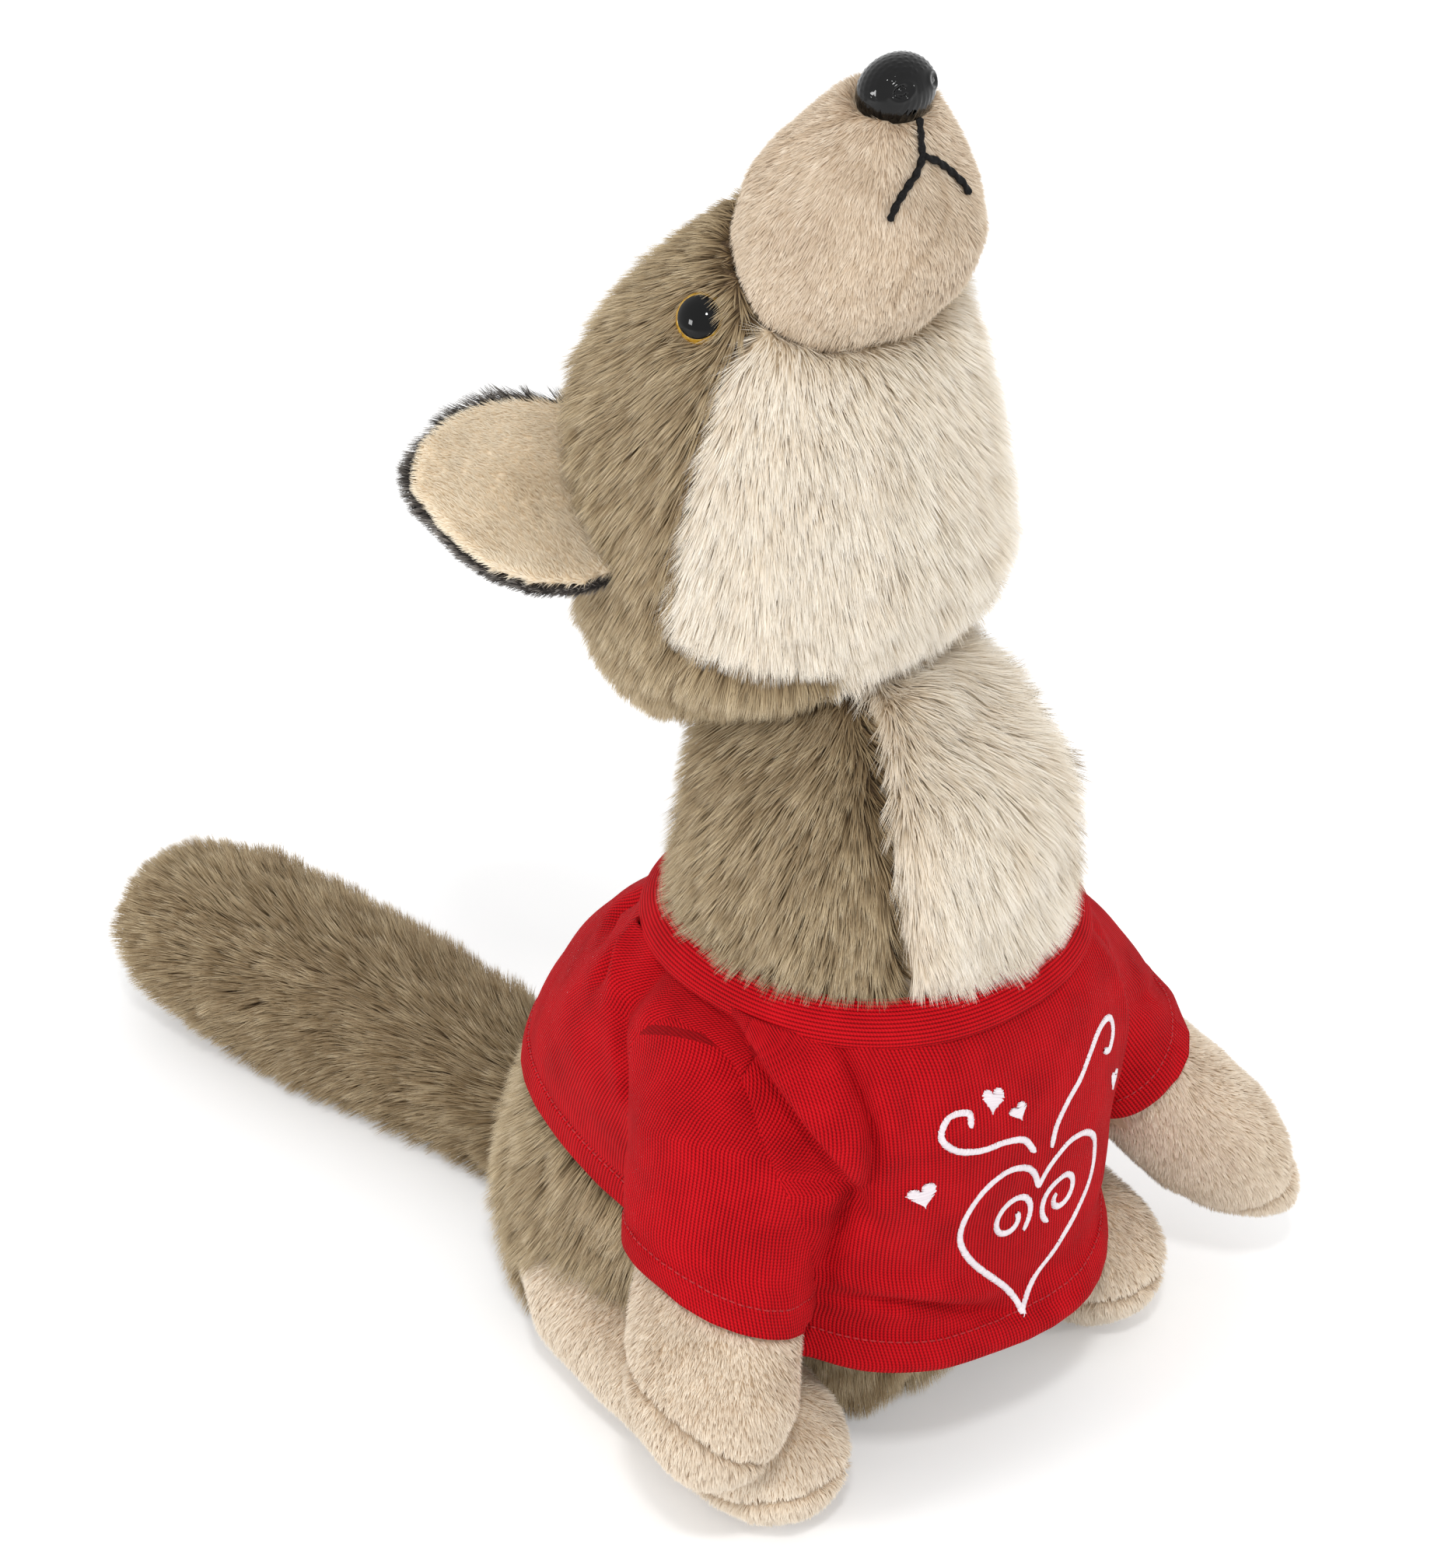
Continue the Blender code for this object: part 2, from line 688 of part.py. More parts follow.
def heart(x, z, half, tall, tilt=0, count=26, start=0.0, stop=1.0):
    """Outline of a heart around (x, z), from its notch round and back."""
    points = []
    turn = math.radians(tilt)
    for i in range(count):
        a = 2 * math.pi * (start + (stop - start) * i / (count - 1))
        u = half * math.sin(a) ** 3
        v = tall * (13 * math.cos(a) - 5 * math.cos(2 * a) - 2 * math.cos(3 * a) - math.cos(4 * a)) / 16
        across = u * math.cos(turn) - v * math.sin(turn)
        up = u * math.sin(turn) + v * math.cos(turn)
        points.append((x + across, z + up))
    return points


def curl(x, z, big, small, first, last, count=13):
    """Scroll that winds from a big radius to a small one."""
    points = []
    for i in range(count):
        k = i / (count - 1)
        a = math.radians(first + (last - first) * k)
        r = big + (small - big) * k
        points.append((x + r * math.cos(a), z + r * math.sin(a)))
    return points


raise_by = MOTIF["thread"] + MOTIF["lift"]
MX = MOTIF["x"]
MZ = MOTIF["z"]
motif = {
    "motif_heart": heart(MX, MZ, MOTIF["width"], MOTIF["height"], MOTIF["tilt"], 28, 0.035, 0.965),
    "motif_scroll_right": curl(MX - 8, MZ + 4, 7.6, 2.2, -50, 390),
    "motif_scroll_left": curl(MX + 10.5, MZ + 2, 7.6, 2.2, 230, -210),
    "motif_plume_right": (
        (4, 101),
        (5.5, 107),
        (9.5, 112.5),
        (15, 117),
        (20.5, 121.5),
        (26, 124.5),
        (31, 123.5),
        (32.5, 119),
        (29.5, 115.5),
        (26, 117.5),
    ),
    "motif_plume_left": (
        (-2.5, 103),
        (-6.5, 108.5),
        (-13, 111),
        (-20, 111.5),
        (-27, 114),
        (-31, 119),
        (-28.5, 124),
        (-23.5, 123.5),
        (-23, 119.5),
    ),
}
for name, flat in motif.items():
    spots = [on_front(shirt_tree, x, z, raise_by) for x, z in flat]
    thread_line(name, spots, MOTIF["thread"], thread_white, wolf)

for k, (x, z, half, tilt) in enumerate(SMALL_HEARTS):
    edge = heart(x, z, half, half * 1.1, tilt, 15)[:-1]
    outside = [on_front(shirt_tree, u, v, MOTIF["lift"] + 0.9) for u, v in edge]
    inside = [on_front(shirt_tree, u, v, MOTIF["lift"]) for u, v in edge]
    body_of("motif_small_%d" % (k + 1), [inside, outside], thread_white, wolf, smooth=False)
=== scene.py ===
# Looks of the plush wolf on its frame: cloth under fur, knitted shirt, thread, moulded eyes and nose.
# Metres. The wolf faces -Y, its left side is +X, up is +Z.

import math

import bpy
import numpy as np
from mathutils import Matrix, Vector
from mathutils.bvhtree import BVHTree
from mathutils.kdtree import KDTree


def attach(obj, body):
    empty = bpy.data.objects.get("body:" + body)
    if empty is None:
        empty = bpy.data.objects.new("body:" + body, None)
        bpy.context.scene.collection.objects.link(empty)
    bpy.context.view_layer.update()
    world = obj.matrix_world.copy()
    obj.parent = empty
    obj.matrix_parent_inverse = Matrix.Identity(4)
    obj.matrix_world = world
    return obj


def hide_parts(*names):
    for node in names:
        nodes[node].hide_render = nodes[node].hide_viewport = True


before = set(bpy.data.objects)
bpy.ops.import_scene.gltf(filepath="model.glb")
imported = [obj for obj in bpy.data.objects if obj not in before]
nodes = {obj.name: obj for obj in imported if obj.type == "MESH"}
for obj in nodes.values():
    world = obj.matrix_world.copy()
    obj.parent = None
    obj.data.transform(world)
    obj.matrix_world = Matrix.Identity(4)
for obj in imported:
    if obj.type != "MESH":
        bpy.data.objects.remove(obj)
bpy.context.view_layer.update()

MM = 0.001
SIDES = {"right": -1, "left": 1}
CLOTH = ("shirt_front", "shirt_back", "collar", "sleeve_right", "sleeve_left")
TRIM = tuple(n for n in nodes if n.startswith(("motif_", "mouth_", "eye_", "iris_")))

# Camera of the photograph: direction in degrees, distance, the point it looks at and its lens

CAMERA = {
    "azimuth": -45,
    "elevation": 32,
    "distance": 1.15,
    "target": (-0.0051, 0.0232, 0.1629),
    "lens": 104.73,
}


def srgb(red, green, blue):
    """Linear colour of a screen colour given from 0 to 255."""
    shares = (red / 255, green / 255, blue / 255)
    return tuple(((c + 0.055) / 1.055) ** 2.4 if c > 0.04 else c / 12.92 for c in shares)


# Fur colours from root to tip, for the darkest and the lightest strands, and where along them they lie

TONE_PLACES = {3: (0.0, 0.5, 1.0), 4: (0.0, 0.35, 0.75, 1.0)}
FUR_TONES = {
    "fur_brown": (
        ((60, 44, 29), (102, 81, 55), (144, 121, 87), (168, 146, 112)),
        ((102, 80, 54), (176, 153, 116), (214, 195, 160), (238, 225, 198)),
    ),
    "fur_cream": (
        ((188, 164, 130), (228, 212, 187), (243, 231, 212), (247, 238, 222)),
        ((220, 202, 174), (247, 238, 222), (254, 249, 238), (255, 252, 246)),
    ),
    "fur_dark": (
        ((30, 26, 24), (52, 47, 44), (88, 82, 78)),
        ((58, 52, 48), (150, 144, 138), (228, 224, 218)),
    ),
    "pile_tan": (
        ((190, 166, 138), (206, 184, 157), (214, 194, 169)),
        ((232, 212, 187), (248, 235, 215), (253, 243, 227)),
    ),
    "pile_beige": (
        ((232, 213, 184), (246, 232, 208), (249, 237, 215)),
        ((240, 223, 196), (252, 241, 220), (254, 246, 229)),
    ),
}


def new_material(name):
    made = bpy.data.materials.new(name)
    made.use_nodes = True
    tree = made.node_tree
    return made, tree, tree.nodes["Principled BSDF"]


def ramp(tree, stops, factor):
    node = tree.nodes.new("ShaderNodeValToRGB")
    stops = tuple(stops)
    band = node.color_ramp
    while len(band.elements) < len(stops):
        band.elements.new(0.5)
    for spot, (place, colour) in zip(band.elements, stops):
        spot.position = place
        spot.color = (*srgb(*colour), 1)
    tree.links.new(factor, node.inputs["Fac"])
    return node.outputs["Color"]


def sums(tree, kind, first, second=None):
    """One sum; each value can be a number or an output."""
    node = tree.nodes.new("ShaderNodeMath")
    node.operation = kind
    for k, value in enumerate((first, second)):
        if isinstance(value, bpy.types.NodeSocket):
            tree.links.new(value, node.inputs[k])
        elif value is not None:
            node.inputs[k].default_value = value
    return node.outputs[0]


def layout(tree, name):
    """Both directions of a layout on the surface."""
    place = tree.nodes.new("ShaderNodeUVMap")
    place.uv_map = name
    parts = tree.nodes.new("ShaderNodeSeparateXYZ")
    tree.links.new(place.outputs["UV"], parts.inputs[0])
    return parts.outputs["X"], parts.outputs["Y"]


def grain(tree, scale, detail):
    """Noise over the space of the object."""
    noise = tree.nodes.new("ShaderNodeTexNoise")
    noise.inputs["Scale"].default_value = scale
    noise.inputs["Detail"].default_value = detail
    place = tree.nodes.new("ShaderNodeTexCoord")
    tree.links.new(place.outputs["Object"], noise.inputs["Vector"])
    return noise.outputs["Fac"]


def set_surface(tree, shader, colour, rough, shine, relief=None):
    """Colour, roughness and shine, and relief given as its height, strength and depth."""
    tree.links.new(colour, shader.inputs["Base Color"])
    shader.inputs["Roughness"].default_value = rough
    shader.inputs["Specular IOR Level"].default_value = shine
    if relief is not None:
        height, strength, deep = relief
        bump = tree.nodes.new("ShaderNodeBump")
        bump.inputs["Strength"].default_value = strength
        bump.inputs["Distance"].default_value = deep
        tree.links.new(height, bump.inputs["Height"])
        tree.links.new(bump.outputs["Normal"], shader.inputs["Normal"])


def strand_material(name, dark, light, rough, shine):
    """Colour runs along each strand, and from dark to light between strands."""
    made, tree, shader = new_material(name)
    across, along = layout(tree, "OFBake")
    node = tree.nodes.new("ShaderNodeMix")
    node.data_type = "RGBA"
    tree.links.new(across, node.inputs[0])
    for key, tones in ((6, dark), (7, light)):
        tree.links.new(ramp(tree, zip(TONE_PLACES[len(tones)], tones), along), node.inputs[key])
    set_surface(tree, shader, node.outputs[2], rough, shine)
    return made


def grainy_material(name, stops, scale, rough, shine=0.5, detail=2, relief=None):
    """Colour that changes from grain to grain; the relief is its strength and depth."""
    made, tree, shader = new_material(name)
    noise = grain(tree, scale, detail)
    set_surface(tree, shader, ramp(tree, stops, noise), rough, shine, relief and (noise, *relief))
    return made


STRANDS = {}
BACKING = {}
for slot, (dark, light) in FUR_TONES.items():
    STRANDS[slot] = strand_material(slot + "_strands", dark, light, 0.75, 0.25)
    weave = ((0.3, dark[0]), (0.7, dark[1]))
    BACKING[slot] = grainy_material(slot + "_backing", weave, 700, 0.95, detail=3, relief=(0.6, 0.0008))


def show(name, mesh):
    made = bpy.data.objects.new(name, mesh)
    bpy.context.scene.collection.objects.link(made)
    return made


def freeze(piece):
    """Modifiers become part of the mesh."""
    graph = bpy.context.evaluated_depsgraph_get()
    mesh = bpy.data.meshes.new_from_object(piece.evaluated_get(graph))
    piece.modifiers.clear()
    piece.data = mesh


def dress(piece, material, node=None):
    """Material and place in the frame of a piece; the node that it stands for is hidden."""
    piece.data.materials.clear()
    piece.data.materials.append(material)
    for face in piece.data.polygons:
        face.use_smooth = True
    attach(piece, "root")
    if node is not None:
        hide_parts(node)


def mesh_of(name, points, faces, size=MM):
    mesh = bpy.data.meshes.new(name)
    mesh.from_pydata((np.array(points) * size).tolist(), [], faces)
    return mesh


def tube_faces(rings, sides):
    """Faces of a tube of rings of points, closed at both ends."""
    faces = []
    for r in range(rings - 1):
        for i in range(sides):
            j = (i + 1) % sides
            faces.append((r * sides + i, r * sides + j, (r + 1) * sides + j, (r + 1) * sides + i))
    faces.append(tuple(reversed(range(sides))))
    faces.append(tuple((rings - 1) * sides + i for i in range(sides)))
    return faces


def places(mesh):
    """Vertex places and normals of a mesh, and the corners of its triangles."""
    mesh.calc_loop_triangles()
    spots = np.empty(len(mesh.vertices) * 3)
    faces = np.empty(len(mesh.vertices) * 3)
    corners = np.empty(len(mesh.loop_triangles) * 3, dtype=np.int64)
    mesh.vertices.foreach_get("co", spots)
    mesh.vertices.foreach_get("normal", faces)
    mesh.loop_triangles.foreach_get("vertices", corners)
    return spots.reshape(-1, 3), faces.reshape(-1, 3), corners.reshape(-1, 3)


def tree_of(names):
    spots = []
    faces = []
    for name in names:
        mesh = nodes[name].data
        start = len(spots)
        spots.extend(v.co.copy() for v in mesh.vertices)
        faces.extend(tuple(start + i for i in p.vertices) for p in mesh.polygons)
    return BVHTree.FromPolygons(spots, faces)


def unit(vectors):
    return vectors / np.maximum(np.linalg.norm(vectors, axis=-1, keepdims=True), 1e-9)


def bell(values, wide):
    """1 where the values are 0, less away from there."""
    return np.exp(-((values / wide) ** 2))


def wander(spots, size, seed, parts=3):
    """Smooth random numbers over space, about -1 to 1, that change over the given size."""
    random = np.random.default_rng(seed)
    total = np.zeros((len(spots), parts))
    for _ in range(6):
        waves = random.normal(size=(3, parts)) * 2 / size
        total += np.sin(spots @ waves + random.uniform(0, 2 * math.pi, parts))
    return total / 3.2


# Cloth under the fur: each stuffed piece with its edges drawn in at the seams


def skin(node, slot, voxel, rounds):
    made = show(node + "_cloth", nodes[node].data.copy())
    even = made.modifiers.new("Even", "REMESH")
    even.mode = "VOXEL"
    even.voxel_size = voxel
    relax = made.modifiers.new("Relax", "SMOOTH")
    relax.factor = 0.5
    relax.iterations = rounds
    freeze(made)
    dress(made, BACKING[slot], node)
    return made


# Fur: where it grows, in metres and millimetres, and the shape of its strands

LOWEST = 0.0006
UNDER_SHIRT_MM = 20
SEAM_GAP = 0.0009
STRAY = 0.12
CLUMP_REACH = 0.006


def bare(node, spots, faces, corners):
    """True for each triangle that no other piece, no shirt and no ground covers."""
    tree = tree_of([n for n in nodes if n != node and n not in TRIM + CLOTH])
    free = np.ones(len(corners), dtype=bool)
    middles = spots[corners].mean(axis=1)
    for k, out in enumerate(unit(faces[corners].mean(axis=1))):
        spot = Vector(middles[k])
        way = Vector(out)
        grounded = spot.z < 0.004 and way.z < -0.6
        if grounded or SHIRT_TREE.ray_cast(spot / MM, way, UNDER_SHIRT_MM)[0] is not None:
            free[k] = False
        else:
            above, face, _, far = tree.ray_cast(spot + way * 0.0003, way, 1.0)
            free[k] = above is None or (face.dot(way) < 0 and far > SEAM_GAP)
    return free


def scatter(skins, per_mm2, seed):
    """Roots of strands over the bare cloth, with the way out at each."""
    random = np.random.default_rng(seed)
    roots = []
    outs = []
    for piece in skins:
        spots, faces, corners = places(piece.data)
        corners = corners[bare(piece.name.removesuffix("_cloth"), spots, faces, corners)]
        a, b, c = (spots[corners[:, i]] for i in range(3))
        area = np.linalg.norm(np.cross(b - a, c - a), axis=1) / 2
        count = int(area.sum() * 1e6 * per_mm2)
        pick = random.choice(len(area), count, p=area / area.sum())
        u = np.sqrt(random.random(count))[:, None]
        v = random.random(count)[:, None]
        share = np.concatenate([1 - u, u * (1 - v), u * v], axis=1)
        chosen = corners[pick]
        roots.append((spots[chosen] * share[:, :, None]).sum(axis=1))
        outs.append(unit((faces[chosen] * share[:, :, None]).sum(axis=1)))
    return np.concatenate(roots), np.concatenate(outs)


def strand_mesh(name, roots, tips, ways, wide, tone):
    """Tapered blades, each from two corners at its root to its tip."""
    count = len(tips)
    half = ways * (wide / 2)[:, None]
    verts = np.stack([roots - half, roots + half, tips], axis=1)
    verts[:, :, 2] = np.maximum(verts[:, :, 2], LOWEST)
    mesh = bpy.data.meshes.new(name)
    mesh.vertices.add(count * 3)
    mesh.vertices.foreach_set("co", verts.ravel())
    mesh.loops.add(count * 3)
    mesh.loops.foreach_set("vertex_index", np.arange(count * 3, dtype=np.int32))
    mesh.polygons.add(count)
    mesh.polygons.foreach_set("loop_start", np.arange(0, count * 3, 3, dtype=np.int32))
    mesh.update(calc_edges=True)
    uv = np.empty((count, 3, 2))
    uv[:, :, 0] = 0.02 + 0.96 * tone[:, None] + np.array((-1, 1, 0)) * 0.004
    uv[:, :, 1] = 0.02 + 0.96 * np.array((0, 0, 1))
    mesh.uv_layers.new(name="OFBake").data.foreach_set("uv", uv.ravel())
    return mesh


def at(value, spots):
    """A value that is the same everywhere, or what its rule makes of the spots."""
    return value(spots) if callable(value) else value


def coat(name, skins, slot, comb, per_mm2, length, lift, sag, wide, seed, clump=0.0, clump_size=3.0,
         tone=0.0, share=1, blotch=0.16, spread=0.2, where=None):
    """Pile over one or more pieces of cloth, lying along the comb direction."""
    random = np.random.default_rng(seed)
    roots, outs = scatter([SKINS[node] for node in skins], per_mm2, seed)
    if where is not None:
        chosen = where(roots)
        roots = roots[chosen]
        outs = outs[chosen]
    count = len(roots)
    way = np.broadcast_to(at(comb, roots), roots.shape)
    way = way - outs * (way * outs).sum(axis=1, keepdims=True)
    way = unit(way + wander(roots, 0.012, seed + 1) * 0.22)
    long = at(length, roots) * MM
    long = long * (0.82 + 0.3 * random.random(count)) * (1 + 0.12 * wander(roots, 0.008, seed + 2, 1)[:, 0])
    long = long[:, None]
    rise = np.broadcast_to(at(lift, roots), count)[:, None]
    start = unit(outs * rise + way * (1 - rise) + random.normal(size=(count, 3)) * STRAY)
    turn = way * 0.35 + np.array((0, 0, -1.0)) * sag
    light = 0.5 + spread * random.normal(size=count) + blotch * wander(roots, 0.006, seed + 3, 1)[:, 0]
    light = np.clip(light + at(tone, roots), 0, 1)
    tips = roots + start * long + turn * long * 0.5
    if clump > 0:
        leaders = random.choice(count, max(1, int(count / (per_mm2 * clump_size))), replace=False)
        finder = KDTree(len(leaders))
        for k, i in enumerate(leaders):
            finder.insert(roots[i], k)
        finder.balance()
        mate = leaders[np.array([finder.find(r)[1] for r in roots])]
        near = np.linalg.norm(roots[mate] - roots, axis=1) < CLUMP_REACH
        tips = tips + (tips[mate] - tips) * (clump * near)[:, None]
        light = np.clip(light * 0.45 + light[mate] * 0.55, 0, 1)
    flat = unit(np.cross(start, outs) + outs * random.uniform(-0.5, 0.5, (count, 1)))
    thick = wide * MM * (0.8 + 0.4 * random.random(count))
    for part in range(share):
        chosen = slice(part, None, share)
        mesh = strand_mesh(name, *(values[chosen] for values in (roots, tips, flat, thick, light)))
        piece = show(name if share == 1 else "%s_%d" % (name, part + 1), mesh)
        dress(piece, STRANDS[slot])


# Stuffed pieces

SKINS = {
    "torso": skin("torso", "fur_brown", 0.0036, 3),
    "chest": skin("chest", "fur_cream", 0.0027, 5),
    "crown": skin("crown", "fur_brown", 0.0026, 5),
    "cheeks": skin("cheeks", "fur_cream", 0.0027, 5),
    "tail": skin("tail", "fur_brown", 0.0026, 5),
    "muzzle": skin("muzzle", "pile_tan", 0.0018, 5),
}
for word in SIDES:
    SKINS["ear_" + word] = skin("ear_" + word, "fur_dark", 0.0012, 3)
    SKINS["ear_lining_" + word] = skin("ear_lining_" + word, "pile_beige", 0.0012, 3)
    for limb in ("arm_", "paw_", "leg_", "sole_"):
        SKINS[limb + word] = skin(limb + word, "pile_tan", 0.0022, 4)

# Shirt sections: height, middle y, half width, half depth, slope towards the back

SHIRT = (
    (143.7, -23.7, 51.2, 51.6, 0.02),
    (136, -24.5, 55.5, 56, 0.04),
    (123, -21.5, 61, 62.5, 0.08),
    (109, -17, 64, 67, 0.13),
    (96, -12.5, 64, 70, 0.18),
    (84, -9.5, 62.5, 73, 0.23),
    (77.5, -8.5, 61.5, 74.5, 0.25),
    (71.5, -8, 61, 76, 0.27),
    (67, -8, 61, 76.5, 0.28),
)
SHIRT_SQUARE = 2.6
SIDE_SEAM_Y = -37
COLLAR = (
    (141.2, -24, 51.8, 52.2, 0.02),
    (142.6, -24, 54.2, 54.6, 0.02),
    (145.2, -24, 54.2, 54.6, 0.02),
    (148.4, -24.3, 51.8, 52.2, 0.02),
    (151, -24.4, 48.6, 49.0, 0.02),
    (152, -24.4, 46.6, 47.0, 0.02),
    (151, -24.3, 45.6, 46.0, 0.02),
)

# Sleeve stations: x away from the middle, y, z, half width, half thickness, slope of the section

SLEEVE = (
    (34, -20, 122, 22, 18, 0),
    (45, -24, 117, 26.5, 21.5, 0),
    (53, -28.5, 106, 27, 22, 0.1),
    (59.5, -33, 94, 26.5, 21.5, 0.22),
    (64, -36.5, 84, 25.5, 21, 0.34),
    (67.2, -39, 75, 25, 20.5, 0.42),
)
SLEEVE_SPLAY = {"right": (0, 0, 0), "left": (10.1, -8.8, -2.5)}
HEM = {"body": 9.5, "sleeve": 7.0, "thick": 0.5, "stitch": 2.2}
SLEEVE_END = {"right": 1.0, "left": 0.88}
KNIT = {"pitch": 1.0, "course": 0.8, "thick": 1.2}

# Folds of the cloth: points in millimetres, how far it stands out, its width, whether it is a step

FOLDS = (
    (((-49, -20, 144), (-54, -39, 137), (-54, -54, 126), (-51, -64, 115), (-48, -70, 104)), -5.2, 2.4, True),
    (((-47, -8, 147), (-51, -2, 142), (-55, 1, 135), (-58, 3, 128)), -2.6, 3.4, False),
    (((-52, -16, 144), (-57, -8, 137), (-60, -4, 128)), 1.2, 4.0, False),
    (((-31, 15, 147), (-29, 27, 140), (-32, 33, 133), (-40, 28, 130)), -3.4, 3.0, False),
    (((-38, 8, 147), (-45, 13, 140), (-50, 11, 134), (-55, 9, 127)), 2.8, 3.2, False),
    (((-42, 15, 144), (-49, 18, 134), (-53, 16, 122)), -2.8, 2.8, False),
    (((-58, 3, 130), (-61, 1, 124), (-64, -4, 115), (-68, -2, 106), (-70, 0, 96)), -2.8, 2.4, False),
    (((-44, -56, 144), (-45, -62, 137), (-45, -67, 129), (-45, -70, 121), (-46, -70, 112), (-47, -69, 104)),
     -2.8, 1.7, False),
    (((-40, -60, 143), (-40, -66, 136), (-40, -71, 127), (-41, -73, 117)), 1.6, 3.0, False),
    (((-47, -69, 110), (-49, -66, 101), (-51, -64, 92), (-52, -61, 80)), -4.6, 2.8, False),
    (((-52, -60, 73), (-44, -69, 71), (-34, -75, 67), (-20, -80, 60), (-9, -84, 55), (0, -86, 53),
      (14, -86, 51)), -2.6, 2.0, False),
    (((-50, -62, 78), (-42, -71, 76), (-32, -77, 72), (-18, -82, 65), (-7, -85, 60), (6, -87, 58)),
     1.7, 3.2, False),
    (((38, -64, 142), (46, -66, 132), (50, -66, 118), (52, -66, 104), (52, -66, 88)), -2.8, 2.4, False),
    (((32, -68, 142), (38, -71, 130), (42, -73, 116), (43, -74, 100)), 1.4, 3.0, False),
    (((44, -52, 143), (56, -44, 136), (66, -40, 126)), -2.8, 2.6, False),
    (((50, -36, 141), (60, -30, 134), (70, -30, 122)), 2.6, 3.0, False),
    (((46, -26, 143), (58, -18, 136), (68, -18, 124)), -2.4, 2.6, False),
    (((48, -10, 143), (56, -2, 136), (60, 2, 126)), -3.4, 2.8, False),
    (((30, 15, 146), (34, 28, 138), (40, 30, 130)), -3.0, 3.0, False),
    (((-5, 30, 143), (-3, 40, 132), (-1, 46, 120)), -2.0, 3.4, False),
    (((12, 29, 143), (14, 40, 131), (15, 47, 116)), 1.8, 3.6, False),
    (((-60, -54, 96), (-72, -50, 92), (-84, -40, 90)), -1.5, 2.4, False),
    (((-66, -8, 98), (-76, -10, 92), (-84, -18, 88)), -2.0, 2.6, False),
    (((62, -62, 104), (76, -56, 98), (88, -46, 92)), -1.9, 2.6, False),
    (((66, -20, 104), (80, -22, 98), (90, -30, 92)), -1.9, 2.6, False),
)
FOLD_GAIN = 1.3


def smooth_rows(rows, t):
    """Values between rows on a smooth curve; t is 0 at the first row and 1 at the last."""
    table = np.array(rows, dtype=float)
    last = len(table) - 1
    place = np.clip(np.asarray(t, dtype=float), 0, 1) * last
    k = np.minimum(place.astype(int), last - 1)
    s = (place - k)[..., None]
    a = table[k]
    b = table[k + 1]
    before = (b - table[np.maximum(k - 1, 0)]) / 2
    after = (table[np.minimum(k + 2, last)] - a) / 2
    before = np.where((k == 0)[..., None], b - a, before)
    after = np.where((k == last - 1)[..., None], b - a, after)
    s2 = s * s
    s3 = s2 * s
    from_a = (2 * s3 - 3 * s2 + 1) * a + (s3 - 2 * s2 + s) * before
    return from_a + (3 * s2 - 2 * s3) * b + (s3 - s2) * after


def around(turn, square):
    across = np.sin(turn)
    front = -np.cos(turn)
    size = (np.abs(across) ** square + np.abs(front) ** square) ** (-1 / square)
    return across * size, front * size


def drape(turn, down):
    """Soft folds of the shirt: waves at the hem, gathers at the back of the shoulders."""
    angle = (np.degrees(turn) + 180) % 360 - 180
    wave = 1.4 * np.sin(5 * turn + 0.5) * down ** 2
    back = np.maximum(0, (np.abs(angle) - 95) / 85)
    gather = (2.5 + 2.0 * np.cos(np.radians(angle * 9))) * back * bell(down - 0.3, 0.25)
    roll = bell(down - 0.93, 0.09) - bell(down - 0.76, 0.1)
    return wave + gather + 1.6 * bell(angle, 55) * roll


def body_cloth(turn, down):
    z, y, a, b, slope = np.moveaxis(smooth_rows(SHIRT, down), -1, 0)
    out = drape(turn, down)
    across, front = around(turn, SHIRT_SQUARE)
    deep = (b + out) * front
    return np.stack([(a + out) * across, y + deep, z + slope * deep], axis=-1)


def sleeve_run(word, down):
    """Middle line of a sleeve and its sections."""
    rows = smooth_rows(SLEEVE, down)
    run = rows[..., :3] + np.clip(down, 0, 1)[..., None] ** 1.3 * np.array(SLEEVE_SPLAY[word])
    return run * np.array((SIDES[word], 1, 1)), rows


def sleeve_cloth(word, turn, down):
    run, rows = sleeve_run(word, down)
    before, _ = sleeve_run(word, np.maximum(down - 0.1, 0))
    after, _ = sleeve_run(word, np.minimum(down + 0.1, 1))
    ahead = unit(after - before)
    first = unit(np.array((0.0, 1.0, 0.0)) - ahead * ahead[..., 1:2])
    second = np.cross(ahead, first) * SIDES[word]
    out = 1.1 * np.sin(3 * turn + 7 * down) * np.sin(math.pi * np.minimum(1, down * 1.3))
    across, front = around(turn, 2)
    deep = (rows[..., 3] + out) * front
    made = run + second * ((rows[..., 4] + out) * across)[..., None] + first * deep[..., None]
    made[..., 2] += rows[..., 5] * deep
    return made


def collar_cloth(turn, down):
    z, y, a, b, slope = np.moveaxis(smooth_rows(COLLAR, down), -1, 0)
    across, front = around(turn, 2.2)
    return np.stack([a * across, y + b * front, z + slope * b * front], axis=-1)


def grid_outs(grid):
    """Normals of a grid of points, pointing away from its middle, and whether they were turned."""
    out = unit(np.cross(np.gradient(grid, axis=1), np.gradient(grid, axis=0)))
    middle = grid.mean(axis=1, keepdims=True)
    flip = 1 if ((grid - middle) * out).sum() > 0 else -1
    return out * flip, flip


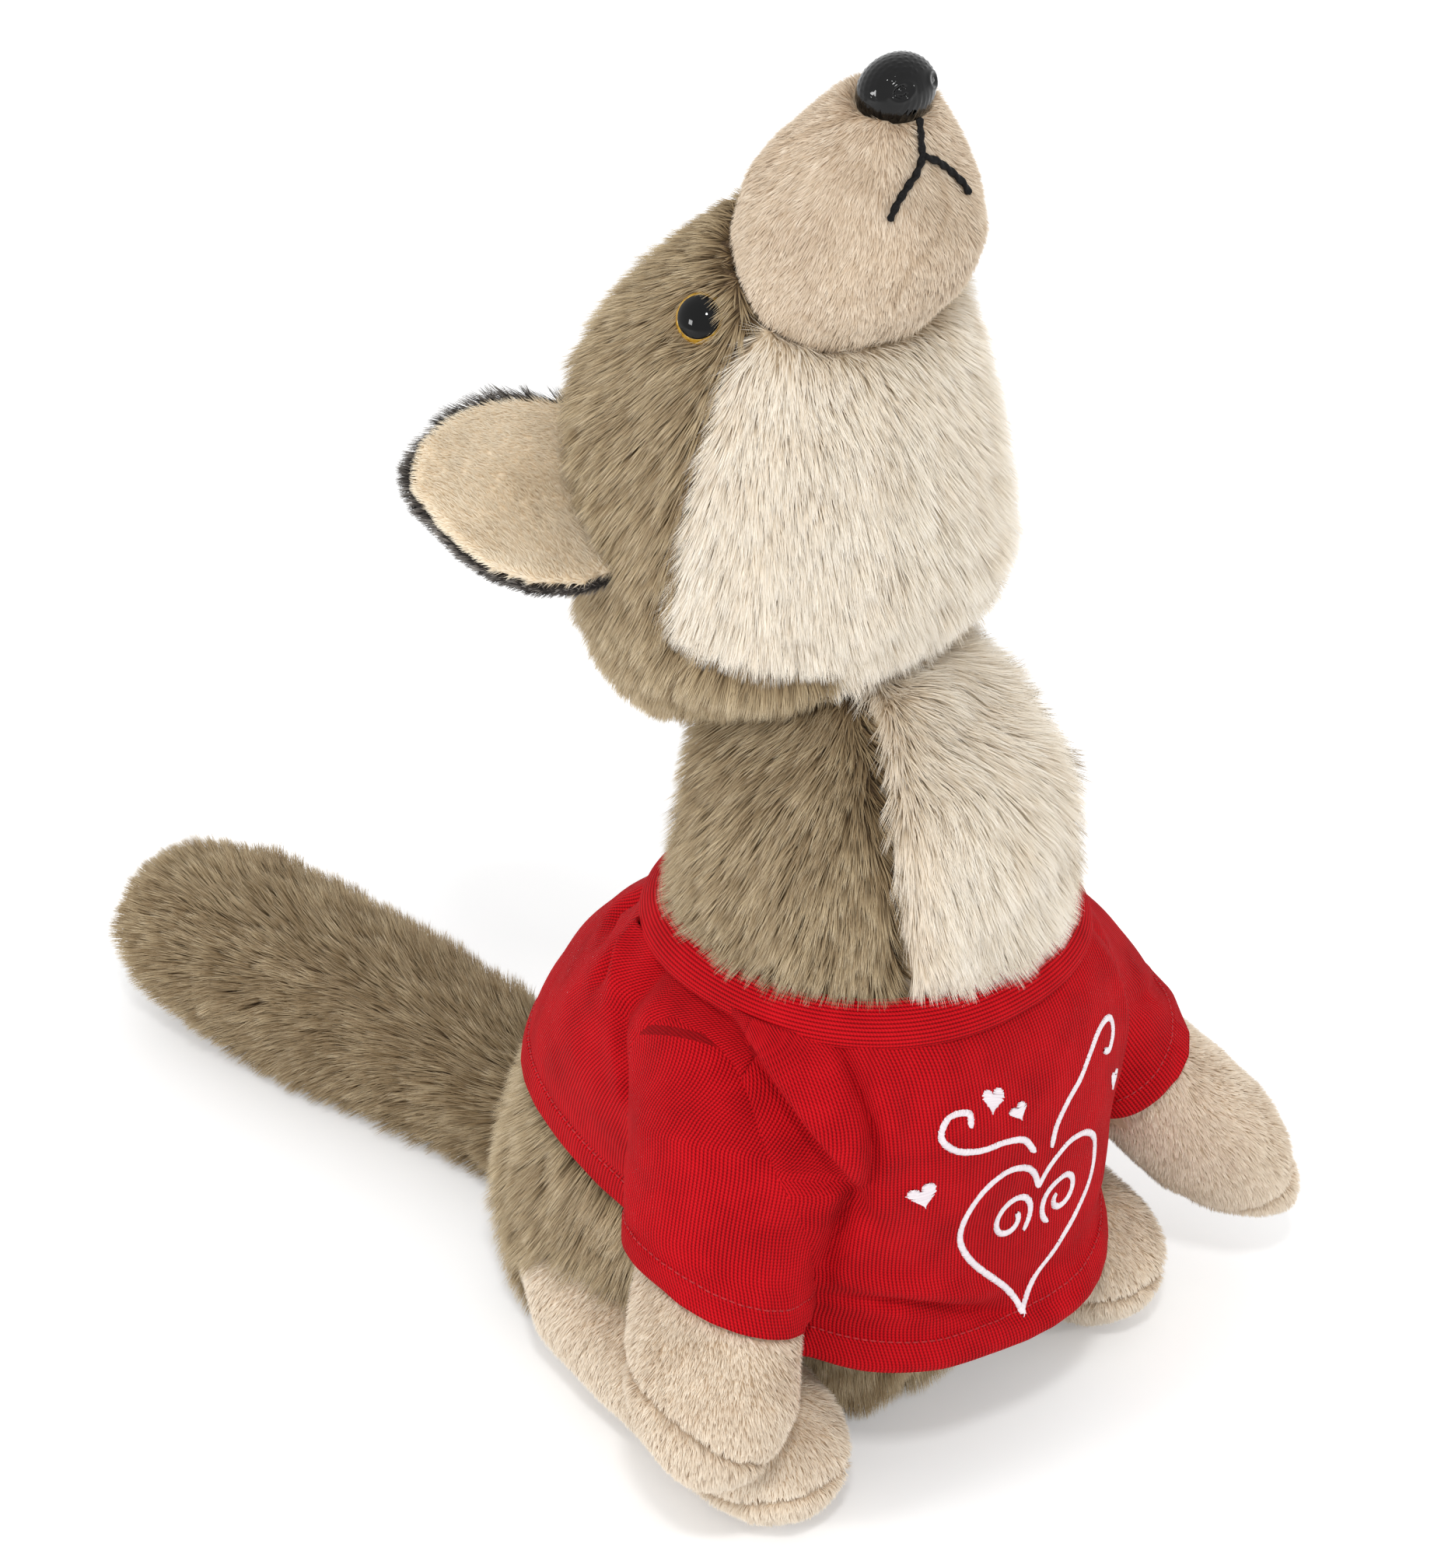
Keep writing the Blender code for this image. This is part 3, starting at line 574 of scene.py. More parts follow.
def on_run(spots, run):
    """Nearest place on a run of points: distance, how far along, the way off it and its heading."""
    run = smooth_rows(run, np.linspace(0, 1, 24))
    best = np.full(len(spots), 1e9)
    along = np.zeros(len(spots))
    off = np.zeros((len(spots), 3))
    head = np.zeros((len(spots), 3))
    for k, (a, b) in enumerate(zip(run, run[1:])):
        step = b - a
        s = np.clip((spots - a) @ step / (step @ step), 0, 1)
        gap = spots - a - s[:, None] * step
        far = np.linalg.norm(gap, axis=1)
        closer = far < best
        best[closer] = far[closer]
        along[closer] = (k + s[closer]) / (len(run) - 1)
        off[closer] = gap[closer]
        head[closer] = step / np.linalg.norm(step)
    return best, along, off, head


def folded(grid, outs):
    """How far the folds push each point of the cloth out or in."""
    spots = grid.reshape(-1, 3)
    ways = outs.reshape(-1, 3)
    total = np.zeros(len(spots))
    for run, high, wide, step in FOLDS:
        middle = np.mean(run, axis=0)
        reach = max(np.linalg.norm(np.array(p) - middle) for p in run) + 5 * wide
        near = np.linalg.norm(spots - middle, axis=1) < reach
        if not near.any():
            continue
        far, along, off, head = on_run(spots[near], run)
        fade = np.sin(math.pi * np.clip(along, 0.04, 0.96)) ** 0.6
        if step:
            across = (np.cross(head, ways[near]) * off).sum(axis=1)
            push = FOLD_GAIN * high * np.tanh(across / wide * 1.5) * bell(far, 4.5 * wide)
        else:
            push = FOLD_GAIN * high * bell(far, wide)
        total[near] += push * fade
    return total.reshape(grid.shape[:2])


def depth_in(spots, tree):
    """Distance of each spot outside a skin, below zero inside it."""
    found = np.empty(len(spots))
    for k, spot in enumerate(spots):
        near, face, _, _ = tree.find_nearest(Vector(spot))
        found[k] = (Vector(spot) - near).dot(face)
    return found


def within(spots, tree, deep, ways):
    """True for each spot that cloth surrounds in all of the ways, at more than the given distance."""
    found = np.zeros(len(spots), dtype=bool)
    for k, spot in enumerate(spots):
        if tree.find_nearest(Vector(spot))[3] > deep:
            found[k] = all(tree.ray_cast(Vector(spot), Vector(way))[0] is not None for way in ways)
    return found


def grid_tree(grids):
    points = []
    faces = []
    for grid, flip in grids:
        start = len(points)
        high, wide = grid.shape[:2]
        points.extend(Vector(p) for p in grid.reshape(-1, 3))
        for r in range(high - 1):
            for c in range(wide - 1):
                a = start + r * wide + c
                corners = (a, a + wide, a + wide + 1, a + 1)
                faces.append(corners if flip < 0 else corners[::-1])
    return BVHTree.FromPolygons(points, faces)


def lengths_up(grid):
    """Length along each column up from the last row, and across each row from the first column."""
    steps = np.linalg.norm(np.diff(grid, axis=0), axis=-1)
    up = np.concatenate([np.cumsum(steps[::-1], axis=0)[::-1], np.zeros((1, grid.shape[1]))])
    steps = np.linalg.norm(np.diff(grid, axis=1), axis=-1)
    across = np.concatenate([np.zeros((grid.shape[0], 1)), np.cumsum(steps, axis=1)], axis=1)
    return up, across


def hem_push(up, hem):
    band = 1 / (1 + np.exp((up - hem) * 3))
    edge = np.clip(1 - up / 1.1, 0, 1) ** 2
    return HEM["thick"] * band - 0.55 * bell(up - hem, 0.45) - 0.6 * edge


def cloth_mesh(name, grid, flip, keep):
    """Cloth of one grid of points, with its knit laid out in millimetres."""
    high, wide = grid.shape[:2]
    up, across = lengths_up(grid)
    index = np.arange(high * wide).reshape(high, wide)
    corners = (index[:-1, :-1], index[1:, :-1], index[1:, 1:], index[:-1, 1:])
    quads = np.stack([q.ravel() for q in (corners if flip < 0 else corners[::-1])], axis=1)[keep.ravel()]
    used = np.unique(quads)
    new = np.full(high * wide, -1)
    new[used] = np.arange(len(used))
    mesh = mesh_of(name, grid.reshape(-1, 3)[used], new[quads].tolist())
    flat = np.stack([across - across[:, wide // 2: wide // 2 + 1], up], axis=-1)
    even = np.stack(np.meshgrid(np.linspace(0.01, 0.99, wide), np.linspace(0.01, 0.99, high)), axis=-1)
    for layer, values in (("OFBake", even), ("knit", flat)):
        values = values.reshape(-1, 2)[quads.ravel()]
        mesh.uv_layers.new(name=layer).data.foreach_set("uv", values.ravel())
    return mesh


def cloth_piece(node, grid, flip, keep, material):
    """A sheet of the shirt with its thickness, without the faces that are cut away."""
    made = show(node + "_knit", cloth_mesh(node + "_knit", grid, flip, keep))
    thick = made.modifiers.new("Thick", "SOLIDIFY")
    thick.thickness = KNIT["thick"] * MM
    thick.offset = -1
    freeze(made)
    dress(made, material, node)


def knit_material(name, turned=False):
    """Rib knit: wales side by side, each a chain of slanting stitches, with painted shade in their grooves.
    """
    made, tree, shader = new_material(name)
    u, v = layout(tree, "knit")
    if turned:
        u, v = v, u
    rows = sums(tree, "MULTIPLY", u, 1 / KNIT["pitch"])
    inside = sums(tree, "ABSOLUTE", sums(tree, "SUBTRACT", sums(tree, "FRACT", rows), 0.5))
    wale = sums(tree, "SUBTRACT", 1, sums(tree, "MULTIPLY", inside, 2))
    wale = sums(tree, "POWER", sums(tree, "MAXIMUM", wale, 0.0001), 0.6)
    slant = sums(tree, "MULTIPLY", inside, 0.9)
    slant = sums(tree, "ADD", sums(tree, "MULTIPLY", v, 1 / KNIT["course"]), slant)
    loops = sums(tree, "SINE", sums(tree, "MULTIPLY", slant, 2 * math.pi))
    loops = sums(tree, "MULTIPLY", sums(tree, "ADD", loops, 1), 0.5)
    height = sums(tree, "ADD", sums(tree, "MULTIPLY", wale, 0.75), sums(tree, "MULTIPLY", loops, 0.25))
    blotch = sums(tree, "MULTIPLY", sums(tree, "SUBTRACT", grain(tree, 90, 4), 0.5), 0.5)
    # Colour follows the height of the knit: painted shade in the grooves between wales and between stitches,
    # full red on the crests.
    stops = ((0.0, (82, 0, 4)), (0.35, (146, 6, 14)), (0.75, (197, 13, 24)), (1.0, (213, 23, 34)))
    colour = ramp(tree, stops, sums(tree, "ADD", height, blotch))
    set_surface(tree, shader, colour, 0.85, 0.1, (height, 0.9, 0.0005))
    shader.inputs["Sheen Weight"].default_value = 0.02
    shader.inputs["Sheen Roughness"].default_value = 0.4
    shader.inputs["Sheen Tint"].default_value = (1, 0.25, 0.25, 1)
    return made


def lengths_along(points):
    """Length of a run of points up to each of them."""
    return np.concatenate([[0], np.cumsum(np.linalg.norm(np.diff(points, axis=0), axis=1))])


def between(lengths, values, at_lengths):
    """Values of a run at the given lengths along it."""
    return np.stack([np.interp(at_lengths, lengths, column) for column in values.T], axis=1)


def stitch_line(grid, outs, up, hem, every):
    """Places of stitches along the hem: middle, way out and heading of each."""
    wide = grid.shape[1]
    spots = np.empty((wide, 3))
    ways = np.empty((wide, 3))
    for c in range(wide):
        order = np.argsort(up[:, c])
        for k in range(3):
            spots[c, k] = np.interp(hem, up[order, c], grid[order, c, k])
            ways[c, k] = np.interp(hem, up[order, c], outs[order, c, k])
    steps = lengths_along(spots)
    stops = np.arange(every / 2, steps[-1], every)
    middle = between(steps, spots, stops)
    return middle, unit(between(steps, ways, stops)), unit(between(steps, spots, stops + 0.4) - middle)


def stitch_mesh(middle, way, ahead):
    """Short plump stitches, one at each place."""
    across = unit(np.cross(way, ahead))
    long = STITCH["long"]
    thick = STITCH["thick"]
    sides = 6
    verts = []
    for s, fat in STITCH["rings"]:
        for i in range(sides):
            a = 2 * math.pi * i / sides
            verts.append(middle + ahead * (s * long) + across * (math.cos(a) * fat * thick / 2)
                         + way * (math.sin(a) * fat * thick / 2))
    verts = np.stack(verts, axis=1)
    per = verts.shape[1]
    faces = tube_faces(len(STITCH["rings"]), sides)
    made = [tuple(k * per + i for i in face) for k in range(len(middle)) for face in faces]
    return mesh_of("stitches", verts.reshape(-1, 3), made)


# The shirt: front and back panels, two sleeves that run into them, and the rib collar

PANELS = ("shirt_front", "shirt_back")
BODY_ROWS = 72
FRONT_COLUMNS = 164
BACK_COLUMNS = 172
SLEEVE_GRID = (58, 130)
COLLAR_GRID = (18, 210)
SLEEVE_START = 0.03
STITCH = {"long": 1.8, "thick": 0.55, "rings": ((-0.5, 0.35), (-0.3, 0.9), (0, 1), (0.3, 0.9), (0.5, 0.35))}

# What is cut away: the distance from the other cloth, and the ways in which it has to lie around

PANEL_CUT = (3, ((0, 1, 0), (0, -1, 0), (0, 0.2, 1), (0, 0, -1)))
SLEEVE_CUT = (4, ((0, 1, 0), (0, -1, 0), (1, 0, 0), (-1, 0, 0)))


def side_turn(down):
    """Turn at which the side seam lies for each row, from the front."""
    turn = np.linspace(0.5, 2.2, 400)
    y = body_cloth(turn[None, :], down)[..., 1]
    return np.array([np.interp(SIDE_SEAM_Y, row, turn) for row in y])[:, None]


def shirt_trees(grids, outs):
    """Search trees of the body of the shirt and of each sleeve."""
    body = grid_tree([(grids[key], outs[key][1]) for key in PANELS])
    return body, [grid_tree([(grids["sleeve_" + word], outs["sleeve_" + word][1])]) for word in SIDES]


def bridge_of(grid):
    """How wide the cloth bridges the corner between sleeve and body: most in front of the shoulder."""
    y = grid[..., 1]
    z = grid[..., 2]
    front = bell(y + 62, 22) * bell(z - 116, 20)
    back = bell(y - 4, 16) * bell(z - 122, 18)
    top = bell(y + 16, 14) * bell(z - 134, 10)
    return 3.0 + 14.0 * front + 10.0 * back + 9.0 * top


down = np.linspace(0, 1, BODY_ROWS)[:, None]
seam = side_turn(down)
cloth = {
    "shirt_front": body_cloth(seam * np.linspace(-1, 1, FRONT_COLUMNS), down),
    "shirt_back": body_cloth(seam + (2 * math.pi - 2 * seam) * np.linspace(0, 1, BACK_COLUMNS), down),
}
for word in SIDES:
    down = np.linspace(SLEEVE_START, SLEEVE_END[word], SLEEVE_GRID[0])[:, None]
    cloth["sleeve_" + word] = sleeve_cloth(word, np.linspace(-math.pi, math.pi, SLEEVE_GRID[1]), down)

first = {key: grid_outs(grid) for key, grid in cloth.items()}
body_tree, sleeve_trees = shirt_trees(cloth, first)
shaped = {}
outward = {}
for key, grid in cloth.items():
    outs = first[key][0]
    others = sleeve_trees if key in PANELS else [body_tree]
    gap = np.minimum.reduce([depth_in(grid.reshape(-1, 3), tree) for tree in others])
    bridge = bridge_of(grid)
    fill = np.clip(1 - np.abs(gap.reshape(bridge.shape)) / bridge, 0, 1) ** 2 * bridge / 4
    grid = grid + outs * fill[..., None]
    up, _ = lengths_up(grid)
    push = folded(grid, outs) + hem_push(up, HEM["body" if key in PANELS else "sleeve"])
    for high, size, seed in ((0.28, 9, 71), (0.1, 3.5, 72)):
        push = push + high * wander(grid.reshape(-1, 3), size, seed, 1).reshape(push.shape)
    made = grid + outs * push[..., None]
    if key not in PANELS:
        arm = tree_of([key.replace("sleeve", limb) for limb in ("arm", "paw")])
        clear = depth_in(made.reshape(-1, 3) * MM, arm).reshape(push.shape) / MM
        made = made + outs * np.clip(2.6 - clear, 0, 7)[..., None]
    shaped[key] = made
    outward[key] = grid_outs(made)

body_tree, sleeve_trees = shirt_trees(shaped, outward)
down = np.linspace(0, 1, COLLAR_GRID[0])[:, None]
band = collar_cloth(np.linspace(-math.pi, math.pi, COLLAR_GRID[1]), down)
SHIRT_TREE = grid_tree([(shaped[key], outward[key][1]) for key in shaped] + [(band, 1)])
KNIT_RED = knit_material("knit_red_rib")
KNIT_BAND = knit_material("knit_red_band", turned=True)
RED_THREAD = grainy_material("red_thread", ((0.3, (120, 6, 12)), (0.7, (196, 22, 30))), 2500, 0.6)

for key, grid in shaped.items():
    outs, flip = outward[key]
    centres = (grid[:-1, :-1] + grid[1:, :-1] + grid[1:, 1:] + grid[:-1, 1:]) / 4
    lost = np.zeros(centres.shape[:2], dtype=bool)
    for tree in sleeve_trees if key in PANELS else [body_tree]:
        cut = PANEL_CUT if key in PANELS else SLEEVE_CUT
        lost |= within(centres.reshape(-1, 3), tree, *cut).reshape(lost.shape)
    hem = HEM["body" if key in PANELS else "sleeve"]
    middle, way, ahead = stitch_line(grid, outs, lengths_up(grid)[0], hem, HEM["stitch"])
    chosen = slice(6, -6) if key in PANELS else slice(None)
    line = show(key + "_stitches", stitch_mesh((middle - way * 0.1)[chosen], way[chosen], ahead[chosen]))
    dress(line, RED_THREAD)
    cloth_piece(key, grid, flip, ~lost, KNIT_RED)

whole = np.ones((COLLAR_GRID[0] - 1, COLLAR_GRID[1] - 1), dtype=bool)
cloth_piece("collar", band, grid_outs(band)[1], whole, KNIT_BAND)

# Fur and pile


def streaming(spots):
    """Down and back over the crown, away from the muzzle."""
    return unit(spots - np.array((0, -0.03, 0.33))) * 0.6 + np.array((0, 0.25, -1.0))


def hanging(spots):
    return unit(spots - np.array((0, -0.01, 0.3))) * 0.25 + np.array((0, 0, -1.0))


def from_nose(spots):
    return unit(spots - np.array((0, -0.03, 0.372)))


def below(spots, high, over):
    """0 above a height, more below it, and 1 from a given distance under it."""
    return np.clip((high - spots[:, 2]) / over, 0, 1)


def crown_length(spots):
    from_face = np.linalg.norm(spots - np.array((0, -0.02, 0.335)), axis=1)
    return np.clip(3.2 + (from_face - 0.02) * 150, 3.2, 9) - 2.5 * below(spots, 0.235, 0.02)


def cheek_length(spots):
    return 7.5 + 3.5 * below(spots, 0.3, 0.05) - 4.0 * below(spots, 0.25, 0.02)


def muzzle_length(spots):
    return 2.6 + 3.4 * below(spots, 0.316, 0.012)


def ear_length(spots):
    """Long along the top of the ear and short under it."""
    low, high = spots[:, 2].min(), spots[:, 2].max()
    return 2.0 + 2.9 * np.clip((spots[:, 2] - low) / (high - low) * 1.7 - 0.4, 0, 1)


def over_collar(spots):
    return 0.5 + 0.3 * bell(spots[:, 2] - 0.154, 0.006)


def neck_length(spots):
    return 10.5 - 3.0 * bell(spots[:, 2] - 0.153, 0.007)


# Seams of the muzzle as points, and of the chest as height and the place to the right and to the left

SNOUT_SEAM = ((9, -29, 364), (12.9, -24.3, 361.3), (15.8, -16.2, 356.5), (17, -10, 351.7), (18, -3, 345))
CHIN_SEAM = (
    (0, -39, 350.7), (1.6, -40.6, 346), (0.1, -42.6, 341.5), (-5.3, -43.8, 335.7), (-10.9, -43.2, 331),
    (-12.7, -40, 321.6),
)
CHEST_SEAMS = (
    (58, -16, 16), (141, -25, 25), (186, -27, 28), (197, -25, 30), (207, -19, 32), (216, -12, 33),
    (226, -8, 33),
)


def muzzle_tone_and_seam_shade(spots):
    """A darker tone over the whole muzzle, and painted shade: darker strands still along the seams at both
    sides of the muzzle and under the chin.
    """
    runs = [[(side * x, y, z) for x, y, z in SNOUT_SEAM] for side in (-1, 1)] + [CHIN_SEAM]
    gap = np.minimum.reduce([on_run(spots / MM, run)[0] for run in runs])
    return -0.22 - 0.9 * bell(gap, 0.6)


def chest_seam_shade(spots):
    """Painted shade: darker strands along both seams of the chest."""
    table = np.array(CHEST_SEAMS, dtype=float) * MM
    far = [np.abs(spots[:, 0] - np.interp(spots[:, 2], table[:, 0], table[:, k])) for k in (1, 2)]
    return -0.55 * bell(np.minimum(*far), 0.005) * (spots[:, 1] < 0)


def throat(spots):
    """The strip of cream between both chest seams under the cheeks."""
    return (np.abs(spots[:, 0]) < 0.023) & (spots[:, 1] < 0.004) & (spots[:, 2] < 0.26)


def not_throat(spots):
    return ~throat(spots)


# Lengths and widths of strands in millimetres

coat("crown_fur", ["crown"], "fur_brown", streaming, 3.3, length=crown_length, lift=0.45, sag=0.35, wide=0.39,
     clump=0.42, clump_size=3.5, seed=11, spread=0.28, where=not_throat)
coat("throat_fur", ["crown"], "fur_cream", hanging, 3.4, length=7.5, lift=0.5, sag=0.4, wide=0.4,
     clump=0.5, clump_size=5, seed=16, where=throat)
coat("cheek_fur", ["cheeks"], "fur_cream", hanging, 4.3, length=cheek_length, lift=0.55, sag=0.5, wide=0.37,
     clump=0.34, seed=12)
# The torso and chest fur take painted shade along both chest seams.
coat("torso_fur", ["torso"], "fur_brown", (0, 0.12, -1), 2.9, length=neck_length, lift=over_collar, sag=0.35,
     wide=0.4, clump=0.42, clump_size=3.5, tone=chest_seam_shade, seed=13, share=2, spread=0.32)
coat("chest_fur", ["chest"], "fur_cream", (0, -0.1, -1), 4.3, length=neck_length, lift=over_collar, sag=0.4,
     wide=0.37, clump=0.34, tone=chest_seam_shade, seed=14)
coat("tail_fur", ["tail"], "fur_brown", (0, 1, -0.15), 2.9, length=9.5, lift=0.5, sag=0.2, wide=0.4,
     clump=0.42, clump_size=3.5, tone=-0.24, seed=15, spread=0.32)
for word, side in SIDES.items():
    ear_way = (side * 0.684, 0.713, 0.05)
    coat("ear_fur_" + word, ["ear_" + word], "fur_dark", ear_way, 5, length=ear_length, lift=0.5, sag=0.1,
         wide=0.34, clump=0.3, seed=20, spread=0.4)
    coat("ear_pile_" + word, ["ear_lining_" + word], "pile_beige", ear_way, 6, length=2.2, lift=0.5, sag=0,
         wide=0.34, seed=22, blotch=0.06)
    for limb, pad, way, per_mm2, wide, tone, seed in (
        ("arm_", "paw_", (side * 0.35, -0.3, -1), 5.4, 0.38, 0.22, 24),
        # The legs' pile is a lighter tone than the arms': painted light against the shade that falls on the
        # legs under the arms.
        ("leg_", "sole_", (0, -0.3, -1), 5, 0.39, 0.42, 26),
    ):
        coat(limb + "pile_" + word, [limb + word, pad + word], "pile_tan", way, per_mm2, length=2.4, lift=0.5,
             sag=0, wide=wide, clump=0.25, clump_size=2, tone=tone, seed=seed, blotch=0.08)
# The muzzle pile takes painted shade along its seams.
coat("muzzle_pile", ["muzzle"], "pile_tan", from_nose, 7, length=muzzle_length, lift=0.34, sag=0, wide=0.36,
     clump=0.15, clump_size=2, tone=muzzle_tone_and_seam_shade, seed=28, blotch=0.05)

# Embroidery: satin stitches over the heart, its scrolls, the plumes and the small hearts

MOTIF = {"at": (0.0, 80.0), "size": (25.0, 26.5), "tilt": -6, "line": 1.75, "high": 0.55, "every": 0.27}
PLUMES = {
    "right": (
        (4, 101), (5.5, 107), (9.5, 112.5), (15, 117), (20.5, 121.5), (26, 124.5), (31, 123.5), (32.5, 119),
        (29.5, 115.5), (26, 117.5),
    ),
    "left": (
        (-2.5, 103), (-6.5, 108.5), (-13, 111), (-20, 111.5), (-27, 114), (-31, 119), (-28.5, 124),
        (-23.5, 123.5), (-23, 119.5),
    ),
}
SMALL_HEARTS = ((-36, 104, 3.8, 14), (-16, 124.5, 3.3, -12), (-8.5, 118, 2.6, 16), (33.5, 104, 2.6, -14))
IN_FRONT = -300
front_tree = grid_tree([(shaped["shirt_front"], outward["shirt_front"][1])])


def heart(half, tall, a):
    """Outline of a heart over the turn a, from its notch."""
    high = 13 * np.cos(a) - 5 * np.cos(2 * a) - 2 * np.cos(3 * a) - np.cos(4 * a)
    return half * np.sin(a) ** 3, tall * high / 16


def tilted(x, z, u, v, tilt):
    """Points (u, v) turned by the tilt and moved to (x, z)."""
    c = math.cos(math.radians(tilt))
    s = math.sin(math.radians(tilt))
    return np.stack([x + u * c - v * s, z + u * s + v * c], axis=1)


def curl(x, z, big, small, first, last):
    k = np.linspace(0, 1, 60)
    a = np.radians(first + (last - first) * k)
    r = big + (small - big) * k
    return np.stack([x + r * np.cos(a), z + r * np.sin(a)], axis=1)


def laid_on(tree, flat, rounds, size=1.0):
    """Points of a flat run laid on a surface from in front, with the way out at each."""
    hits = [tree.ray_cast(Vector((x, IN_FRONT, z)) * size, Vector((0, 1, 0))) for x, z in flat]
    spots = np.array([hit[0] / size for hit in hits])
    ways = np.array([hit[1] if hit[1].y < 0 else -hit[1] for hit in hits])
    for _ in range(rounds):
        ways[1:-1] = unit(ways[1:-1] + ways[:-2] + ways[2:])
    return spots, ways


def evenly(points, every):
    lengths = lengths_along(points)
    return between(lengths, points, np.linspace(0, lengths[-1], max(3, int(lengths[-1] / every))))


def satin(node, runs, seed):
    """Each stitch is a low arch across the run, a little slanted, with a ridge along it."""
    random = np.random.default_rng(seed)
    profile = np.array((-1, -0.72, -0.3, 0.3, 0.72, 1))
    arch = np.sqrt(np.maximum(0, 1 - (profile * 0.98) ** 2))
    n = len(profile)
    verts = []
    faces = []
    uvs = []
    for flat, half, slant, high in runs:
        spots, ways = laid_on(front_tree, flat, 3)
        ahead = unit(np.gradient(spots, axis=0))
        across = unit(np.cross(ways, ahead))
        half = np.broadcast_to(half, (len(spots),)) * (1 + 0.07 * random.normal(size=len(spots)))
        gap = np.linalg.norm(np.diff(spots, axis=0), axis=1).mean()
        tone = random.random(len(spots))
        for k in range(len(spots)):
            line = across[k] + ahead[k] * slant
            start = len(verts)
            for s, lift in ((-0.5, 0.0), (0.0, 0.11), (0.5, 0.0)):
                for p, up in zip(profile, arch):
                    tall = high * up + lift * (0.4 + 0.6 * up) - 0.12
                    verts.append(spots[k] + line * p * half[k] + ahead[k] * s * gap * 1.05 + ways[k] * tall)
            for r in range(2):
                for c in range(n - 1):
                    a = start + r * n + c
                    faces.append((a, a + 1, a + n + 1, a + n))
                    # The middle row of each stitch takes the painted highlight of the thread, both end rows
                    # its painted shade.
                    for row in (r, r, r + 1, r + 1):
                        uvs.append((0.04 + 0.92 * tone[k], 0.05 + 0.45 * row))
    mesh = mesh_of(node + "_satin", verts, faces)
    mesh.uv_layers.new(name="OFBake").data.foreach_set("uv", np.array(uvs).ravel())
    dress(show(node + "_satin", mesh), THREAD_WHITE, node)


# White satin thread, with a painted highlight along the crown of each stitch and painted shade between
# stitches

THREAD_WHITE = strand_material(
    "thread_white_satin",
    ((196, 178, 186), (240, 232, 236), (206, 190, 198)),
    ((220, 204, 211), (252, 248, 250), (226, 212, 218)),
    0.42,
    0.5,
)
MX, MZ = MOTIF["at"]
outline = heart(*MOTIF["size"], 2 * math.pi * np.linspace(0.035, 0.965, 240))
outlines = {
    "motif_heart": tilted(MX, MZ, *outline, MOTIF["tilt"]),
    "motif_scroll_right": curl(MX - 8, MZ + 4, 7.6, 2.2, -50, 390),
    "motif_scroll_left": curl(MX + 10.5, MZ + 2, 7.6, 2.2, 230, -210),
    "motif_plume_right": smooth_rows(PLUMES["right"], np.linspace(0, 1, 120)),
    "motif_plume_left": smooth_rows(PLUMES["left"], np.linspace(0, 1, 120)),
}
for k, (node, flat) in enumerate(outlines.items()):
    flat = evenly(flat, MOTIF["every"])
    ends = np.minimum(np.arange(len(flat)), np.arange(len(flat))[::-1])
    half = MOTIF["line"] / 2 * np.clip(0.55 + ends * 0.12, 0, 1)
    satin(node, [(flat, half, 0.35, MOTIF["high"])], 40 + k)

for k, (x, z, size, tilt) in enumerate(SMALL_HEARTS):
    u, v = heart(size, size * 1.1, np.linspace(0, math.pi, 200))
    top = int(np.argmax(v))
    levels = np.arange(v.min() + 0.15, v.max() - 0.05, MOTIF["every"])
    outer = np.interp(levels, v[top:][::-1], u[top:][::-1])
    inner = np.where(levels > v[0], np.interp(levels, v[:top + 1], u[:top + 1]), 0)
    halves = []
    for side, chosen in ((0, levels <= v[0] + 0.2), (-1, levels > v[0] - 0.2), (1, levels > v[0] - 0.2)):
        middle = side * (outer + inner)[chosen] / 2
        wide = outer[chosen] if side == 0 else (outer - inner)[chosen] / 2
        halves.append((tilted(x, z, middle, levels[chosen], tilt), np.maximum(wide, 0.12), 0.25, 0.5))
    satin("motif_small_%d" % (k + 1), halves, 50 + k)

# Mouth: black floss of two plies, from under the nose to both corners

MOUTH = {
    "mouth_long": (
        (-1.2, 361.5), (-1.7, 358.5), (-2.2, 355.5), (-2.8, 353.0), (-4.6, 350.8), (-7, 348.6), (-11, 345),
        (-14, 341.6),
    ),
    "mouth_short": ((-2.6, 353.4), (-0.3, 352.0), (2.4, 349.9), (5, 347.3), (7.4, 344.2), (8.8, 341.2)),
}
FLOSS = {"radius": 0.85, "sides": 12, "off": 1.5, "every": 0.2}
FLOSS_BLACK = grainy_material("floss_black_twist", ((0.3, (5, 5, 5)), (0.75, (26, 24, 24))), 2200, 0.55, 0.12)
muzzle_tree = tree_of(["muzzle"])
for node, flat in MOUTH.items():
    flat = evenly(smooth_rows(flat, np.linspace(0, 1, 80)), FLOSS["every"])
    spots, ways = laid_on(muzzle_tree, flat, 4, MM)
    spots = spots + ways * FLOSS["off"]
    ahead = unit(np.gradient(spots, axis=0))
    across = unit(np.cross(ways, ahead))
    out = np.cross(ahead, across)
    verts = []
    for k in range(len(spots)):
        end = min(k, len(spots) - 1 - k)
        fat = FLOSS["radius"] * min(1.0, 0.4 + 0.25 * end)
        for i in range(FLOSS["sides"]):
            a = 2 * math.pi * i / FLOSS["sides"]
            r = fat * (0.86 + 0.17 * math.cos(2 * a - k * 0.42))
            verts.append(spots[k] + across[k] * math.cos(a) * r * 1.12 + out[k] * math.sin(a) * r)
    mesh = mesh_of(node, verts, tube_faces(len(spots), FLOSS["sides"]))
    dress(show(node + "_floss", mesh), FLOSS_BLACK, node)

